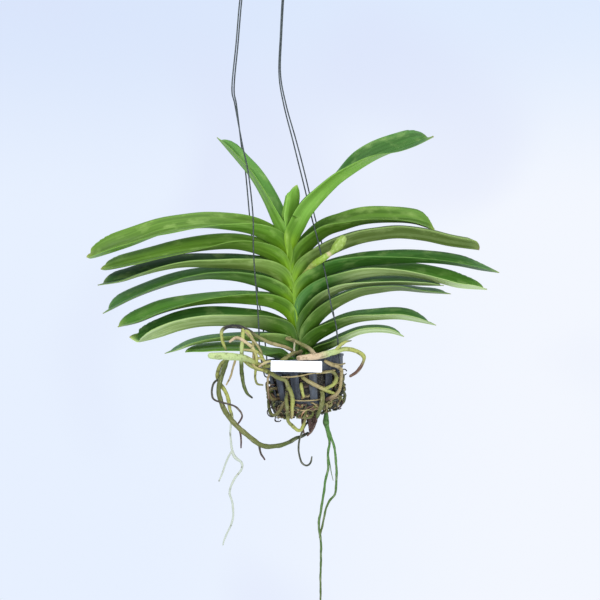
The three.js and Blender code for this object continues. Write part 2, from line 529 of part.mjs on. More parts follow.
// One ring across a leaf: the outer face from edge to keel to edge, then the inner face back again.
function leafRing(leaf, curve, length, s) {
  const steps = [1, 0.5];
  const keel = curve.getPointAt(s);
  const along = curve.getTangentAt(s);
  const [leanFrom, leanTo, leanBy] = leaf.lean ?? [0, 1, 0];
  keel.y += leanBy * THREE.MathUtils.smoothstep(s * length, leanFrom, leanTo);
  const forwards = new THREE.Vector3(0, -1, 0);
  const inwards = forwards.clone().cross(along).multiplyScalar(leaf.side).normalize();
  const bow = THREE.MathUtils.degToRad(eased(s, BOW_STATIONS, BOW_ANGLES));
  const halves = [
    { turn: 1, angles: leaf.near, end: leaf.nearEnd, tip: leaf.nearTip, name: 'near' },
    { turn: -1, angles: leaf.far, end: leaf.farEnd, tip: leaf.farTip, name: 'far' },
  ];
  const place = (turn, side, up) => keel.clone()
    .addScaledVector(forwards, turn * side)
    .addScaledVector(inwards, up)
    .toArray();
  const outer = [];
  const inner = [];
  let keelRise = 0;
  for (const half of halves) {
    const open = THREE.MathUtils.degToRad(eased(s, leaf.stations ?? STATIONS, half.angles));
    const rise = open - FOOT_CLOSING * (1 - claspAt(leaf, s, length));
    const width = halfWidth(leaf, half, s, length);
    const bulk = Math.min(width / 10, 1);
    const start = rise - bow / 2;
    const faces = steps.map((u) => {
      const angle = start + bow * u;
      const flat = Math.abs(bow) < 1e-3;
      const side = width * (flat ? Math.cos(start) * u : (Math.sin(angle) - Math.sin(start)) / bow);
      const up = width * (flat ? Math.sin(start) * u : (Math.cos(start) - Math.cos(angle)) / bow);
      const full = u === 1 ? BLADE_EDGE : BLADE_MIDDLE;
      const thickness = BLADE_EDGE + (full - BLADE_EDGE) * bulk;
      return {
        outer: place(half.turn, side, up),
        inner: place(half.turn, side - Math.sin(angle) * thickness, up + Math.cos(angle) * thickness),
      };
    });
    if (half.turn < 0) faces.reverse();
    outer.push(faces.map((face) => face.outer));
    inner.push(faces.map((face) => face.inner));
    const keelThickness = BLADE_EDGE + (BLADE_KEEL - BLADE_EDGE) * bulk;
    keelRise = Math.max(keelRise, keelThickness / Math.max(Math.cos(start), 0.4));
  }
  const outerFace = [...outer[0], place(1, 0, 0), ...outer[1]];
  const innerFace = [...inner[0], place(1, 0, keelRise), ...inner[1]];
  return [...outerFace, ...innerFace.reverse()];
}

function bladeGeometry(leaf) {
  const curve = keelCurve(leaf);
  const length = curve.getLength();
  const start = (leaf.sheath + GAP) / length;
  const tip = Math.max(1 - TIP_STRETCH / length, (1 + start) / 2);
  const stationsAlong = [];
  const bodySteps = 7;
  for (let i = 0; i < bodySteps; i += 1) stationsAlong.push(start + ((tip - start) * i) / bodySteps);
  for (const share of [0, 0.35, 0.6, 0.78, 0.9, 1]) stationsAlong.push(tip + (1 - tip) * share);
  const cap = [0, 1, 2, 3].flatMap((j) => [[j, j + 1, 8 - j], [j, 8 - j, 9 - j]]);
  return geometryOf(skin(stationsAlong.map((s) => leafRing(leaf, curve, length, s)), cap));
}

// The sheaths clasp each other so tightly that each is solid from its outer face to its edges.
function sheathGeometry(leaf) {
  const curve = keelCurve(leaf);
  const length = curve.getLength();
  const end = leaf.sheath / length;
  const stationsAlong = [0, end / 3, (2 * end) / 3, end];
  const rings = stationsAlong.map((s) => leafRing(leaf, curve, length, s).slice(0, 5));
  return geometryOf(skin(rings, [[0, 1, 2], [0, 2, 3], [0, 3, 4]]));
}

// ---- Round pieces ----

// A round body of changing thickness along a route, from one arc length to another. Its rings stand at
// the points of the route, or at even parts of the stretches between them.
function taperedRod(route, { sides = 6, parts = 1, from = 0, to = Infinity, swell = 0 } = {}) {
  const points = route.map(([x, y, z]) => new THREE.Vector3(x, y, z));
  const curve = new THREE.CatmullRomCurve3(points, false, 'catmullrom', 0.5);
  curve.arcLengthDivisions = (route.length - 1) * parts * 20;
  const lengths = curve.getLengths();
  const stop = Math.min(to, lengths[lengths.length - 1]);
  const clear = 2; // between an inner ring and either end
  const inRange = (arc) => arc > from + clear && arc < stop - clear;
  const ringArcs = lengths.filter((arc, index) => index % 20 === 0 && inRange(arc));
  const rings = [];
  let up = new THREE.Vector3(0.3, 1, 0.2);
  for (const arc of [from, ...ringArcs, stop]) {
    const t = curve.getUtoTmapping(arc / lengths[lengths.length - 1]);
    const centre = curve.getPoint(t);
    const along = curve.getTangent(t);
    up = up.clone().addScaledVector(along, -up.dot(along)).normalize();
    const across = along.clone().cross(up);
    const index = Math.min(Math.floor(t * (route.length - 1)), route.length - 2);
    const share = t * (route.length - 1) - index;
    const radius = THREE.MathUtils.lerp(route[index][3], route[index + 1][3], share) + swell;
    const ring = [];
    for (let j = 0; j < sides; j += 1) {
      const angle = (2 * Math.PI * j) / sides;
      ring.push(centre.clone()
        .addScaledVector(up, radius * Math.cos(angle))
        .addScaledVector(across, radius * Math.sin(angle))
        .toArray());
    }
    rings.push(ring);
  }
  const cap = [];
  for (let j = 1; j < sides - 1; j += 1) cap.push([0, j, j + 1]);
  return geometryOf(skin(rings, cap));
}

function stubOf(route, reach) {
  return taperedRod(route, { to: reach, swell: 0.5 });
}

function wireGeometry(points, radius, parts) {
  return taperedRod(points.map((point) => [...point, radius]), { parts });
}

// A profile of [radius, z] points turned about Z.
function turned(profile, steps = CIRCLE_STEPS) {
  const points = profile.map(([radius, z]) => new THREE.Vector2(radius, z));
  const geometry = new THREE.LatheGeometry(points, steps);
  geometry.rotateX(Math.PI / 2);
  return geometry;
}

// ---- Basket ----

function rimGeometry() {
  const inner = RIM_RADIUS - RIM_WALL;
  return turned([
    [inner, 0], [inner - RIM_TAPER, -RIM_HEIGHT], [RIM_RADIUS - RIM_TAPER, -RIM_HEIGHT],
    [RIM_RADIUS - 0.8, -RIM_LIP_HEIGHT - 0.6], [RIM_RADIUS + RIM_LIP, -RIM_LIP_HEIGHT],
    [RIM_RADIUS + RIM_LIP, 0], [inner, 0],
  ]);
}

function slatGeometry(angle) {
  const top = -RIM_HEIGHT + SLAT_LAP;
  const corners = [];
  for (const [z, radius, width] of [
    [top, SLAT_RADIUS_TOP + SLAT_LAP_REACH, SLAT_WIDTH_TOP],
    [-RIM_HEIGHT - 1.5, SLAT_RADIUS_TOP, SLAT_WIDTH_TOP],
    [SLAT_FOOT, SLAT_RADIUS_BOTTOM, SLAT_WIDTH_BOTTOM],
  ]) {
    corners.push([
      [-width / 2, -radius, z], [width / 2, -radius, z],
      [width / 2, -radius + SLAT_THICKNESS, z], [-width / 2, -radius + SLAT_THICKNESS, z],
    ]);
  }
  const geometry = geometryOf(skin(corners, [[0, 1, 2], [0, 2, 3]]));
  geometry.rotateZ(THREE.MathUtils.degToRad(angle));
  return geometry;
}

function floorGeometry() {
  const wall = SLAT_RADIUS_BOTTOM;
  const inside = -FLOOR_DEPTH + FLOOR_THICKNESS;
  const brim = SLAT_FOOT + 2;
  return turned([
    [FLOOR_HOLE_RADIUS, inside], [FLOOR_HOLE_RADIUS, -FLOOR_DEPTH], [wall - FLOOR_BEND, -FLOOR_DEPTH],
    [wall - 1.5, -FLOOR_DEPTH + 4], [wall + 0.2, brim], [wall - SLAT_THICKNESS, brim],
    [wall - 4, inside + 3], [wall - FLOOR_BEND - 1.2, inside], [FLOOR_HOLE_RADIUS, inside],
  ]);
}

function basketGeometry() {
  const slats = [];
  for (let k = 0; k < SLAT_COUNT; k += 1) {
    slats.push(slatGeometry(FIRST_SLAT_ANGLE + (360 / SLAT_COUNT) * k));
  }
  return joined([rimGeometry(), floorGeometry(), ...slats]);
}

// The middle of a slot between two slats, in degrees from the label side.
function slotAngle(slot) {
  return FIRST_SLAT_ANGLE + (360 / SLAT_COUNT) * (slot + 0.5);
}

// A dead root that leaves the packed roots through one slot, hangs past the slats by its sag and goes
// back in through another slot.
function wovenRoot([fromSlot, toSlot, fromZ, toZ, radius, sag]) {
  const inside = 29; // within the packed roots
  const outside = SLAT_RADIUS_TOP + radius + 1.6;
  const mouth = outside - 1.5;
  const at = (angle, reach, z) => {
    const turn = THREE.MathUtils.degToRad(angle);
    return [reach * Math.sin(turn), -reach * Math.cos(turn), z, radius];
  };
  const [fromAngle, toAngle] = [slotAngle(fromSlot), slotAngle(toSlot)];
  const route = [at(fromAngle, inside, fromZ), at(fromAngle, mouth, fromZ)];
  for (const share of [1 / 3, 2 / 3]) {
    const z = THREE.MathUtils.lerp(fromZ, toZ, share) - sag * Math.sin(Math.PI * share);
    route.push(at(THREE.MathUtils.lerp(fromAngle, toAngle, share), outside, z));
  }
  route.push(at(toAngle, mouth, toZ), at(toAngle, inside, toZ));
  return taperedRod(route, { sides: 5, parts: 2 });
}

function packedRootsGeometry() {
  const core = turned(PACKED_CORE, 24);
  return joined([core, ...WOVEN_ROOTS.map(wovenRoot)]);
}

function oldStemGeometry() {
  return taperedRod(OLD_STEM, { sides: 10 });
}

// ---- Hook ----

function hookGeometry() {
  const bend = HOOK_BEND_RADIUS + HOOK_WIRE_RADIUS;
  const points = [HOOK_TIP];
  const [arcStart, arcEnd, arcSteps] = [-0.25, Math.PI + 0.35, 8];
  for (let i = 0; i <= arcSteps; i += 1) {
    const angle = THREE.MathUtils.lerp(arcStart, arcEnd, i / arcSteps);
    points.push([bend * Math.cos(angle), 0, bend * Math.sin(angle) - HOOK_BEND_RADIUS]);
  }
  const collarBottom = COLLAR_BOTTOM + RIM_CENTRE[2];
  const collarTop = collarBottom + COLLAR_LENGTH;
  const shoulder = 1;
  points.push(...HOOK_NECK, [0, 0, collarTop - 3]);
  const collar = turned([
    [0, collarBottom], [COLLAR_RADIUS, collarBottom], [COLLAR_RADIUS, collarTop - shoulder],
    [COLLAR_RADIUS - shoulder, collarTop], [0, collarTop],
  ], 20);
  return joined([wireGeometry(points, HOOK_WIRE_RADIUS, 2), collar]);
}

// ---- Label ----

function labelGeometry() {
  const [width, thickness, height] = LABEL_SIZE;
  const [x, y] = [width / 2 - LABEL_CORNER, height / 2 - LABEL_CORNER];
  const shape = new THREE.Shape();
  shape.moveTo(-x, -height / 2);
  shape.lineTo(x, -height / 2);
  shape.absarc(x, -y, LABEL_CORNER, -Math.PI / 2, 0);
  shape.absarc(x, y, LABEL_CORNER, 0, Math.PI / 2);
  shape.absarc(-x, y, LABEL_CORNER, Math.PI / 2, Math.PI);
  shape.absarc(-x, -y, LABEL_CORNER, Math.PI, 1.5 * Math.PI);
  const options = { depth: thickness, bevelEnabled: false, curveSegments: 3 };
  const geometry = new THREE.ExtrudeGeometry(shape, options);
  geometry.rotateX(Math.PI / 2);
  return geometry;
}

// ---- Materials ----

function look(color, roughness, metalness = 0) {
  return new THREE.MeshStandardMaterial({ color, roughness, metalness });
}

const LEAF_GREEN = 0x5a8f35;
const YOUNG_GREEN = 0x7cae3c;
const OLD_ROOT = 0x5e4a40;
const LIVE_ROOT = 0x8a9458;
const DARK_ROOT = 0x54603a;
const SPIKE_GREEN = 0xb4cf52;
const BASKET_PLASTIC = 0x2f363d;
const STEEL = 0x50565e;
const LABEL_WHITE = 0xf4f5f7;

// ---- Assembly ----

const plant = new THREE.Group();
const basketFrame = new THREE.Group();
const whole = new THREE.Group();

function addPiece(parent, name, geometry, material) {
  const mesh = new THREE.Mesh(geometry, material);
  mesh.name = name;
  parent.add(mesh);
  return mesh;
}

function addPlant() {
  const sheaths = LEAVES.map(sheathGeometry);
  const stubs = [
    stubOf(ARCHED_ROOT, ROOT_STUB), stubOf(TRUNK_ROOT, ROOT_STUB), stubOf(CROWN_ROOT, CROWN_ROOT_STUB),
    stubOf(FLOWER_SPIKE, FLOWER_SPIKE_STUB),
  ];
  const core = taperedRod(STEM_CORE);
  addPiece(plant, 'stem', joined([core, ...sheaths, ...stubs]), look(YOUNG_GREEN, 0.5));
  for (const leaf of LEAVES) addPiece(plant, leaf.name, bladeGeometry(leaf), look(LEAF_GREEN, 0.45));
  const spike = taperedRod(FLOWER_SPIKE, { sides: 8, from: FLOWER_SPIKE_STUB + STUB_GAP });
  addPiece(plant, 'flower_spike', spike, look(SPIKE_GREEN, 0.5));
}

function addRoots() {
  const leftBunch = joined([
    taperedRod(ARCHED_ROOT, { from: ROOT_STUB + STUB_GAP }),
    taperedRod(TRUNK_ROOT, { from: ROOT_STUB + STUB_GAP }),
    ...[DROPPED_ROOT, PALE_ROOT, THIN_ROOT, FORWARD_ROOT, BASKET_ROOT].map((route) => taperedRod(route)),
    ...SIDE_ROOTLETS.map((route) => taperedRod(route, { sides: 5 })),
  ]);
  addPiece(plant, 'roots_left', leftBunch, look(LIVE_ROOT, 0.7));
  const rightLoop = joined([
    taperedRod(CROWN_ROOT, { from: CROWN_ROOT_STUB + STUB_GAP }), taperedRod(LOOPING_ROOT, { sides: 8 }),
  ]);
  addPiece(plant, 'root_right_loop', rightLoop, look(LIVE_ROOT, 0.7));
  const frontBunch = joined([SLOT_ROOT, UNDER_LABEL_ROOT, SIDE_ROOT].map((route) => taperedRod(route)));
  addPiece(plant, 'roots_front', frontBunch, look(LIVE_ROOT, 0.7));
  addPiece(plant, 'root_slot_tip', taperedRod(SLOT_TIP_ROOT), look(LIVE_ROOT, 0.6));
  addPiece(plant, 'root_green', taperedRod(GREEN_ROOT), look(LIVE_ROOT, 0.6));
  addPiece(plant, 'root_hooked', taperedRod(HOOKED_ROOT), look(LIVE_ROOT, 0.7));
  addPiece(plant, 'root_curled', taperedRod(CURLED_ROOT), look(DARK_ROOT, 0.8));
  const longPair = joined(LONG_ROOTS.map((route) => taperedRod(route)));
  addPiece(plant, 'roots_long', longPair, look(DARK_ROOT, 0.6));
}

function addBasket() {
  addPiece(basketFrame, 'basket', basketGeometry(), look(BASKET_PLASTIC, 0.6));
  addPiece(basketFrame, 'packed_roots', packedRootsGeometry(), look(OLD_ROOT, 0.95));
  addPiece(basketFrame, 'old_stem', oldStemGeometry(), look(OLD_ROOT, 0.9));
  basketFrame.rotation.y = BASKET_TILT;
}

function addHanger() {
  for (const [name, points] of Object.entries(WIRES)) {
    addPiece(plant, name, wireGeometry(points, WIRE_RADIUS, 1), look(STEEL, 0.45, 0.8));
  }
  addPiece(whole, 'hanger_hook', hookGeometry(), look(STEEL, 0.4, 0.85));
}

function addLabel() {
  const label = addPiece(plant, 'plant_label', labelGeometry(), look(LABEL_WHITE, 0.5));
  label.position.set(...LABEL_PLACE);
  label.rotation.y = LABEL_TILT;
}

addPlant();
addRoots();
addBasket();
addHanger();
addLabel();
plant.add(basketFrame);
plant.position.set(...RIM_CENTRE);
whole.add(plant);

export default whole;
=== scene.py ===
"""The looks of a hanging vanda orchid: leaves, roots, basket, wires and tag round the frame.

Shapes are worked out in millimetres from the middle of the basket's mouth, as the frame's are, and
every mesh is made in metres in the row frame.
"""

import math
import random

import bpy
import numpy as np
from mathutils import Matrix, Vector


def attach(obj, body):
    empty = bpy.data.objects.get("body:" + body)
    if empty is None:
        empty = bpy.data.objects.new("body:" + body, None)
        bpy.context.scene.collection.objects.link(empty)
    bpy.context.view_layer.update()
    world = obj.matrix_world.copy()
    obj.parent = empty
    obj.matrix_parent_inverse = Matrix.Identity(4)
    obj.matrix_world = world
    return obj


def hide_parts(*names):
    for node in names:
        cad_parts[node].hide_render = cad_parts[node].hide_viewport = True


MM = 0.001
RIM_CENTRE = np.array([12.5, 0.0, -525.5])
SHARP_FROM = math.radians(68)

# ---- Sizes ----

BLADE_EDGE = 0.7
BLADE_KEEL = 2.4
THICK_FROM = 10  # the width of a half from which its keel is at full thickness
NARROWEST_HALF = 0.45
WIDTH_SHARES = ([0, 0.12, 0.3, 0.6, 0.85, 1], [0.8, 0.95, 1, 1, 0.94, 0.9])  # along a leaf
BOW = ([0, 0.14, 0.3, 0.6, 1], [80, 40, 0, -10, -10])  # bend of a half along a leaf, in degrees
RIPPLE = 1.6  # degrees
RIPPLE_LENGTH = 30
MARGIN_BULGE = 0.3
GROOVE_WIDTH = 0.6
TIP_LENGTH = 1.25  # of a drawn-out tip, in widths of its half
FOOT_SHARE = 0.6  # of a half's width, where the sheath starts
FOOT_CLOSING = math.radians(30)  # how much more a sheath closes at its foot
KEEL_ROUNDING = 0.06  # share of a half's width
LEAF_STATIONS = [0, 0.12, 0.3, 0.55, 0.8, 1]
ACROSS_STEPS = 14  # points from keel to margin
ACROSS = np.linspace(0, 1, ACROSS_STEPS + 1) ** 1.5  # their shares of its width
BODY_RINGS = 64
TIP_RINGS = 44
SHEATH_RINGS = 16
TIP_STRETCH = 45  # the last stretch of a leaf, with closer rings
RIM_RADIUS = 46.5
RIM_HEIGHT = 16
# The rim's outline as [radius from the rim's own, z], with its lip.
RIM_OUTLINE = [(-2.4, 0), (-4, -RIM_HEIGHT), (-1.8, -RIM_HEIGHT), (-0.8, -3), (0.3, -2.4), (0.3, 0)]
SLAT_COUNT = 12
SLAT_STEP = 360 / SLAT_COUNT
FIRST_SLAT_ANGLE = 13
SLAT_TOP = -RIM_HEIGHT + 2.5  # inside the rim
SLAT_SHOULDER = -RIM_HEIGHT - 1.5
SLAT_FOOT = -50
SLAT_FLARE = 2.2  # how much further out a slat's top is than its shoulder
SLAT_RADIUS_TOP = 41
SLAT_RADIUS_BOTTOM = 36.6
SLAT_WIDTH_TOP = 10
SLAT_WIDTH_BOTTOM = 8.6
SLAT_THICKNESS = 2.4
BASKET_EDGE = 0.7
FLOOR_DEPTH = 60
FLOOR_THICKNESS = 2.5
FLOOR_HOLE_RADIUS = 20
# The floor's upturned edge as [radius from the slats' foot, z from the underside].
FLOOR_OUTLINE = [
    (-6, 0), (-1.5, 4), (0.2, 12), (-SLAT_THICKNESS, 12), (-4, 5.5), (-7.2, FLOOR_THICKNESS),
]
FLOOR_EDGE = 0.8
BASKET_TILT = math.radians(-5)
WIRE_RADIUS = 0.8
WIRE_STEP = 1.6
HOOK_WIRE_RADIUS = 1.3
HOOK_BEND_RADIUS = 11
HOOK_DROP = 0.12  # keeps the round wire inside the frame's hook
HOOK_ARC = (-0.25, math.pi + 0.35)  # from +X, in radians
HOOK_TIP = (0.72, -9.5)  # x as a share of the bend's radius, and z from its centre
HOOK_SHANK = [(-6, -14), (-0.8, -19), (0, -24)]  # [x, z] from the bend's centre
COLLAR_RADIUS = 4.5
COLLAR_LENGTH = 14
COLLAR_BOTTOM = 474.5  # above the basket's mouth
LABEL_SIZE = (57, 0.9, 12.4)
LABEL_PLACE = (-7.5, -49, -8.3)
LABEL_CORNER = 1.2
LABEL_EDGE = 0.12
ROOT_BEND = 0.22  # how far a root strays from its route
ROOT_BEND_LENGTH = 4.5
ROOT_LUMP_LENGTH = 2.6
WOVEN_DEPTH = 29  # where woven roots start and end inside the basket
WOVEN_GAP = 1.6  # between them and the slats
WOUND_ROOT_COUNT = 90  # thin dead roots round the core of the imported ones
SCRAP_COUNT = 24  # scraps of dry root skin low on the front of the basket
STAGE_RADIUS = 1.25  # in metres, as its height
STAGE_HEIGHT = -1.1
SENSOR_WIDTH = 36
VIEW_SHARE = 0.46  # how wide the view is, as a share of its distance


def strap_leaf(name, sheath, half, greens, **own):
    """A leaf's values: its own over those that most leaves share."""
    shared = dict(
        side=-1 if name.startswith("left") else 1, opens=sheath, lean=(0, 1, 0), ends=(1, 1),
        tips=(TIP_LENGTH * half, half), drawn_out="near", stations=LEAF_STATIONS, foot_fade=(0.06, 0.3),
    )
    own.update(name="leaf_" + name, sheath=sheath, half=half, greens=tuple(greens.split()))
    return {**shared, **own}


# Each leaf: name, length of its sheath, width of a half, and greens of the inner face, the outer
# face and the foot; near and far, how many degrees each half rises at the stations along it; keel,
# the folded lower edge as [x, z]. Where a leaf differs from most: ends, the shares at which the near
# and the far half end; tips, how long their tips are; drawn_out, the half whose tip is; lean, a bend
# in Y as [start, stop, amount]; opens, where its clasping foot ends; foot_fade, the shares between
# which the foot's green fades.
LEAVES = [
    strap_leaf("left_1", 47, 21, "fresh young young", lean=(20, 60, 3), ends=(1, 0.97),
        near=[60, 60, 30, 18, 12, 8], far=[60, 62, 62, 56, 46, 44],
        keel=[[-18.5, 109], [-23, 127.5], [-32, 147], [-46, 179.5], [-61, 206], [-77, 226],
              [-99.5, 252.5]]),
    strap_leaf("left_2", 39, 24, "lime young sprout", lean=(20, 60, 3), ends=(0.99, 1),
        drawn_out="neither", tips=(30, 42), near=[60, 60, 20, -6, 4, 6], far=[60, 64, 60, 52, 72, 70],
        keel=[[-19.5, 94.5], [-27.5, 121], [-55, 139], [-86, 146], [-121, 148], [-159, 142], [-199, 127],
              [-240, 114], [-249.5, 114.5]]),
    strap_leaf("left_3", 39, 22, "lime lime sprout", lean=(20, 60, 2), ends=(0.99, 1),
        drawn_out="neither", tips=(25, 28), near=[60, 60, 30, 0, -4, 0], far=[60, 64, 60, 57, 50, 45],
        keel=[[-18.5, 77], [-22, 92], [-32, 106.5], [-49.5, 116.5], [-70, 122.5], [-90, 124],
              [-118.5, 121.5], [-150.5, 116], [-194, 106], [-224, 100], [-233, 100.5]]),
    strap_leaf("left_4", 37, 22, "deep pale sprout", ends=(1, 0.975), near=[60, 60, 35, 18, 2, 0],
        far=[60, 64, 56, 48, 44, 45],
        keel=[[-16, 58.5], [-17, 72.5], [-29, 87.5], [-47, 96.5], [-72.5, 100.5], [-101, 102],
              [-133.5, 103], [-160, 99.5], [-186, 93], [-209, 86], [-236, 82]]),
    strap_leaf("left_5", 37, 21, "turf middle sprout", ends=(1, 0.97), near=[60, 60, 35, 12, 2, 0],
        far=[60, 64, 56, 42, 40, 42],
        keel=[[-14, 40], [-15, 56], [-25, 65.5], [-42.5, 76.5], [-72.5, 86], [-101, 89], [-118.5, 88.5],
              [-141.5, 85], [-168.5, 77], [-194.5, 67], [-219.5, 54.5], [-230, 49.5]]),
    strap_leaf("left_6", 34, 21, "fresh moss sprout", ends=(0.985, 0.995), drawn_out="neither",
        tips=(20, 26), near=[60, 60, 35, 12, 4, 4], far=[60, 64, 50, 40, 52, 50],
        keel=[[-12.5, 22], [-14, 35.5], [-23, 48.5], [-40, 57], [-65.5, 60.5], [-88.5, 61.5], [-115, 60],
              [-141.5, 55.5], [-164.5, 49], [-190, 39], [-213, 34]]),
    strap_leaf("left_7", 28, 25, "turf wash shade", ends=(0.935, 1), drawn_out="neither", tips=(22, 40),
        foot_fade=(0.16, 0.46), near=[60, 60, 38, 30, 28, 10], far=[60, 64, 60, 64, 64, 55],
        keel=[[-11.5, 1], [-15, 12.5], [-24, 22], [-31.5, 25.5], [-48.5, 31.5], [-68, 34], [-93, 35.5],
              [-118.5, 34.5], [-141.5, 30], [-164.5, 22.5], [-187.5, 17], [-194, 18.5], [-200, 22.5]]),
    strap_leaf("left_8", 26, 20, "turf pale turf", ends=(1, 0.96), near=[60, 55, 30, 16, 8, 4],
        far=[60, 55, 34, 24, 22, 20],
        keel=[[-8, -6], [-11.5, 3.5], [-22, 10.5], [-40, 16], [-61, 18], [-84, 18.5], [-107, 17],
              [-127.5, 13], [-143.5, 7.5], [-159, 3.5]]),
    strap_leaf("left_9", 26, 18, "young young fresh", ends=(0.98, 1), near=[60, 40, 8, -4, -4, 0],
        far=[60, 50, 32, 28, 26, 24],
        keel=[[-7, -12.5], [-12.5, -7], [-24, -3.5], [-40, 0.5], [-61, 7], [-78, 9], [-101, 8.5],
              [-118.5, 7], [-135.5, 5]]),
    strap_leaf("centre", 39, 18, "young young fresh", lean=(8, 34, -12), ends=(0.97, 1),
        drawn_out="neither", tips=(12, 15), near=[60, 54, 50, 54, 60, 60], far=[60, 70, 72, 72, 76, 76],
        keel=[[-14, 123], [-10.5, 144], [-6.5, 164.5], [-3.8, 180.5], [-4.2, 190], [-6.5, 197]]),
    strap_leaf("right_1", 48, 23, "turf young sprout", opens=30, lean=(7, 60, -19), ends=(1, 0.97),
        stations=[0, 0.12, 0.3, 0.46, 0.64, 0.8, 1], near=[60, 62, 48, 32, 14, -9, -8],
        far=[60, 60, 57, 34, 68, 70, 60],
        keel=[[-14, 109], [-8, 127.5], [1, 145], [11.5, 164], [32, 187.5], [49.5, 203], [84, 225],
              [116, 238], [148.5, 250.5]]),
    strap_leaf("right_2", 40, 22, "moss moss sprout", lean=(12, 48, 10.5), ends=(0.97, 1),
        drawn_out="far", tips=(22, 25), near=[60, 62, 40, 14, 2, 0], far=[60, 63, 69, 71, 62, 62],
        keel=[[-10.5, 83], [-4.5, 99], [3.5, 116], [26.5, 138], [48.5, 146.5], [71.5, 153], [100, 155],
              [127.5, 153.5], [152, 146]]),
    strap_leaf("right_3", 37, 22, "sage sage sprout", lean=(20, 55, 7), drawn_out="neither",
        tips=(12, 15), near=[60, 62, 46, 36, 33, 28], far=[60, 62, 54, 44, 47, 42],
        keel=[[-8, 65.5], [-3.5, 81.5], [7, 98], [25.5, 112], [42.5, 121.5], [65.5, 130], [88.5, 134.5],
              [111.5, 136.5], [140.5, 133.5], [169, 127.5], [203.5, 123]]),
    strap_leaf("right_4", 36, 22, "turf turf sprout", ends=(0.985, 1), drawn_out="far", tips=(22, 48),
        near=[60, 62, 40, 18, 6, 4], far=[60, 62, 52, 46, 42, 38],
        keel=[[-4.5, 45], [-1, 62], [7, 78], [22, 89], [42.5, 98], [65.5, 103.5], [88.5, 106],
              [111.5, 107.5], [134.5, 108], [157.5, 107], [180.5, 104], [203.5, 99.5], [225.5, 96.5]]),
    strap_leaf("right_5", 37, 22, "fresh mint turf", ends=(1, 0.985), tips=(27.5, 42),
        foot_fade=(0.24, 0.46), near=[60, 62, 40, 20, 12, 14], far=[60, 62, 50, 44, 60, 55],
        keel=[[-3.5, 26.5], [1, 45], [10.5, 62], [25.5, 74], [42.5, 81.5], [65.5, 89.5], [88.5, 93],
              [111.5, 93], [134.5, 90], [157.5, 84.5], [180.5, 79], [211.5, 77]]),
    strap_leaf("right_6", 38, 20, "turf mint shade", ends=(0.99, 0.98), foot_fade=(0.2, 0.5),
        near=[60, 62, 36, 14, 9, 10], far=[60, 62, 46, 36, 35, 30],
        keel=[[-1, 8], [3.5, 27.5], [11.5, 45], [22, 61], [38, 72], [54, 78], [77, 81.5], [106, 83],
              [134.5, 82], [162, 81.6]]),
    strap_leaf("right_7", 34, 20, "turf sage shade", ends=(1, 0.975), foot_fade=(0.18, 0.5),
        near=[60, 62, 44, 24, 8, 4], far=[60, 62, 50, 30, 22, 20],
        keel=[[1, -3.5], [6, 14], [14, 30], [25.5, 45], [42.5, 58], [65.5, 69], [88.5, 73.5], [111.5, 76],
              [140.5, 73.5], [170, 72]]),
    strap_leaf("right_8", 26, 20, "turf wash shade", ends=(1, 0.95), tips=(25, 26), foot_fade=(0.3, 0.62),
        near=[60, 60, 40, 22, 17, 10], far=[60, 60, 48, 42, 44, 30],
        keel=[[1, -10.5], [7, 4.5], [17, 17], [31, 26], [48.5, 35], [65.5, 40], [88.5, 42.5], [111.5, 43],
              [134.5, 39.5], [153, 36]]),
    strap_leaf("right_9", 26, 16, "fresh mint shade", ends=(1, 0.97), foot_fade=(0.3, 0.65),
        near=[60, 50, 32, 24, 20, 14], far=[60, 55, 44, 36, 32, 26],
        keel=[[3.5, -17], [8, -6], [19.5, 3.5], [34.5, 10.5], [48.5, 18], [65.5, 25.5], [82.5, 28],
              [100, 27], [116, 23]]),
]

# Round pieces: every point of a route is [x, y, z, radius], as in the frame.
STEM_CORE = [
    [2, 0, -18, 8], [0, 0, 2, 7], [-4.5, 0, 31, 6], [-9.5, 0, 77, 5.4], [-13, 0, 120, 4.6],
    [-13, 0, 142, 3],
]
FLOWER_SPIKE = [
    [-8, 1, 86, 2], [-3, -1.5, 91, 2.2], [2.5, -4.6, 96.4, 2.4], [7, -9.2, 101.6, 2.7],
    [10.4, -14, 104.9, 3.1], [14, -19.8, 107.2, 3.6], [19.2, -23.7, 110.4, 3.9],
    [26, -24.7, 115, 3.5], [32.8, -25, 120, 2.9], [37.4, -25.5, 124.5, 5.2],
    [41.9, -26, 130.2, 6.1], [44.5, -26.5, 133.8, 4.9],
]
OLD_STEM = [
    [3, 0, -58.2, 8.5], [3, 0, -64, 8.6], [3.8, -1, -71, 7.4], [2.6, -0.5, -77, 4.6],
    [1.6, 0, -81.5, 2.4], [1, 0, -87, 1.5],
]
ARCHED_ROOT = [
    [0, -2, 8, 1.8], [-4, -9, 3.5, 1.8], [-13.5, -21, 9, 1.9], [-24, -27, 13.5, 2],
    [-37, -30, 17, 2], [-46, -32, 21.5, 2], [-56, -33.5, 27.5, 2.1], [-65, -34.5, 33, 2.2],
    [-75, -35, 36, 2.3], [-86, -35, 35, 2.2], [-91.5, -35, 29.5, 2], [-90.5, -35, 19.5, 1.9],
    [-86.5, -35, 9.5, 1.2],
]
DROPPED_ROOT = [
    [-67.5, -34.8, 33, 2.1], [-68, -37, 21, 2.3], [-69, -37, 3, 2.3], [-69.5, -35, -6, 2.4],
    [-68.5, -33, -19.5, 2.3], [-66.5, -32, -32, 2], [-62.5, -31, -40, 1.7], [-57.5, -31, -44.5, 1],
]
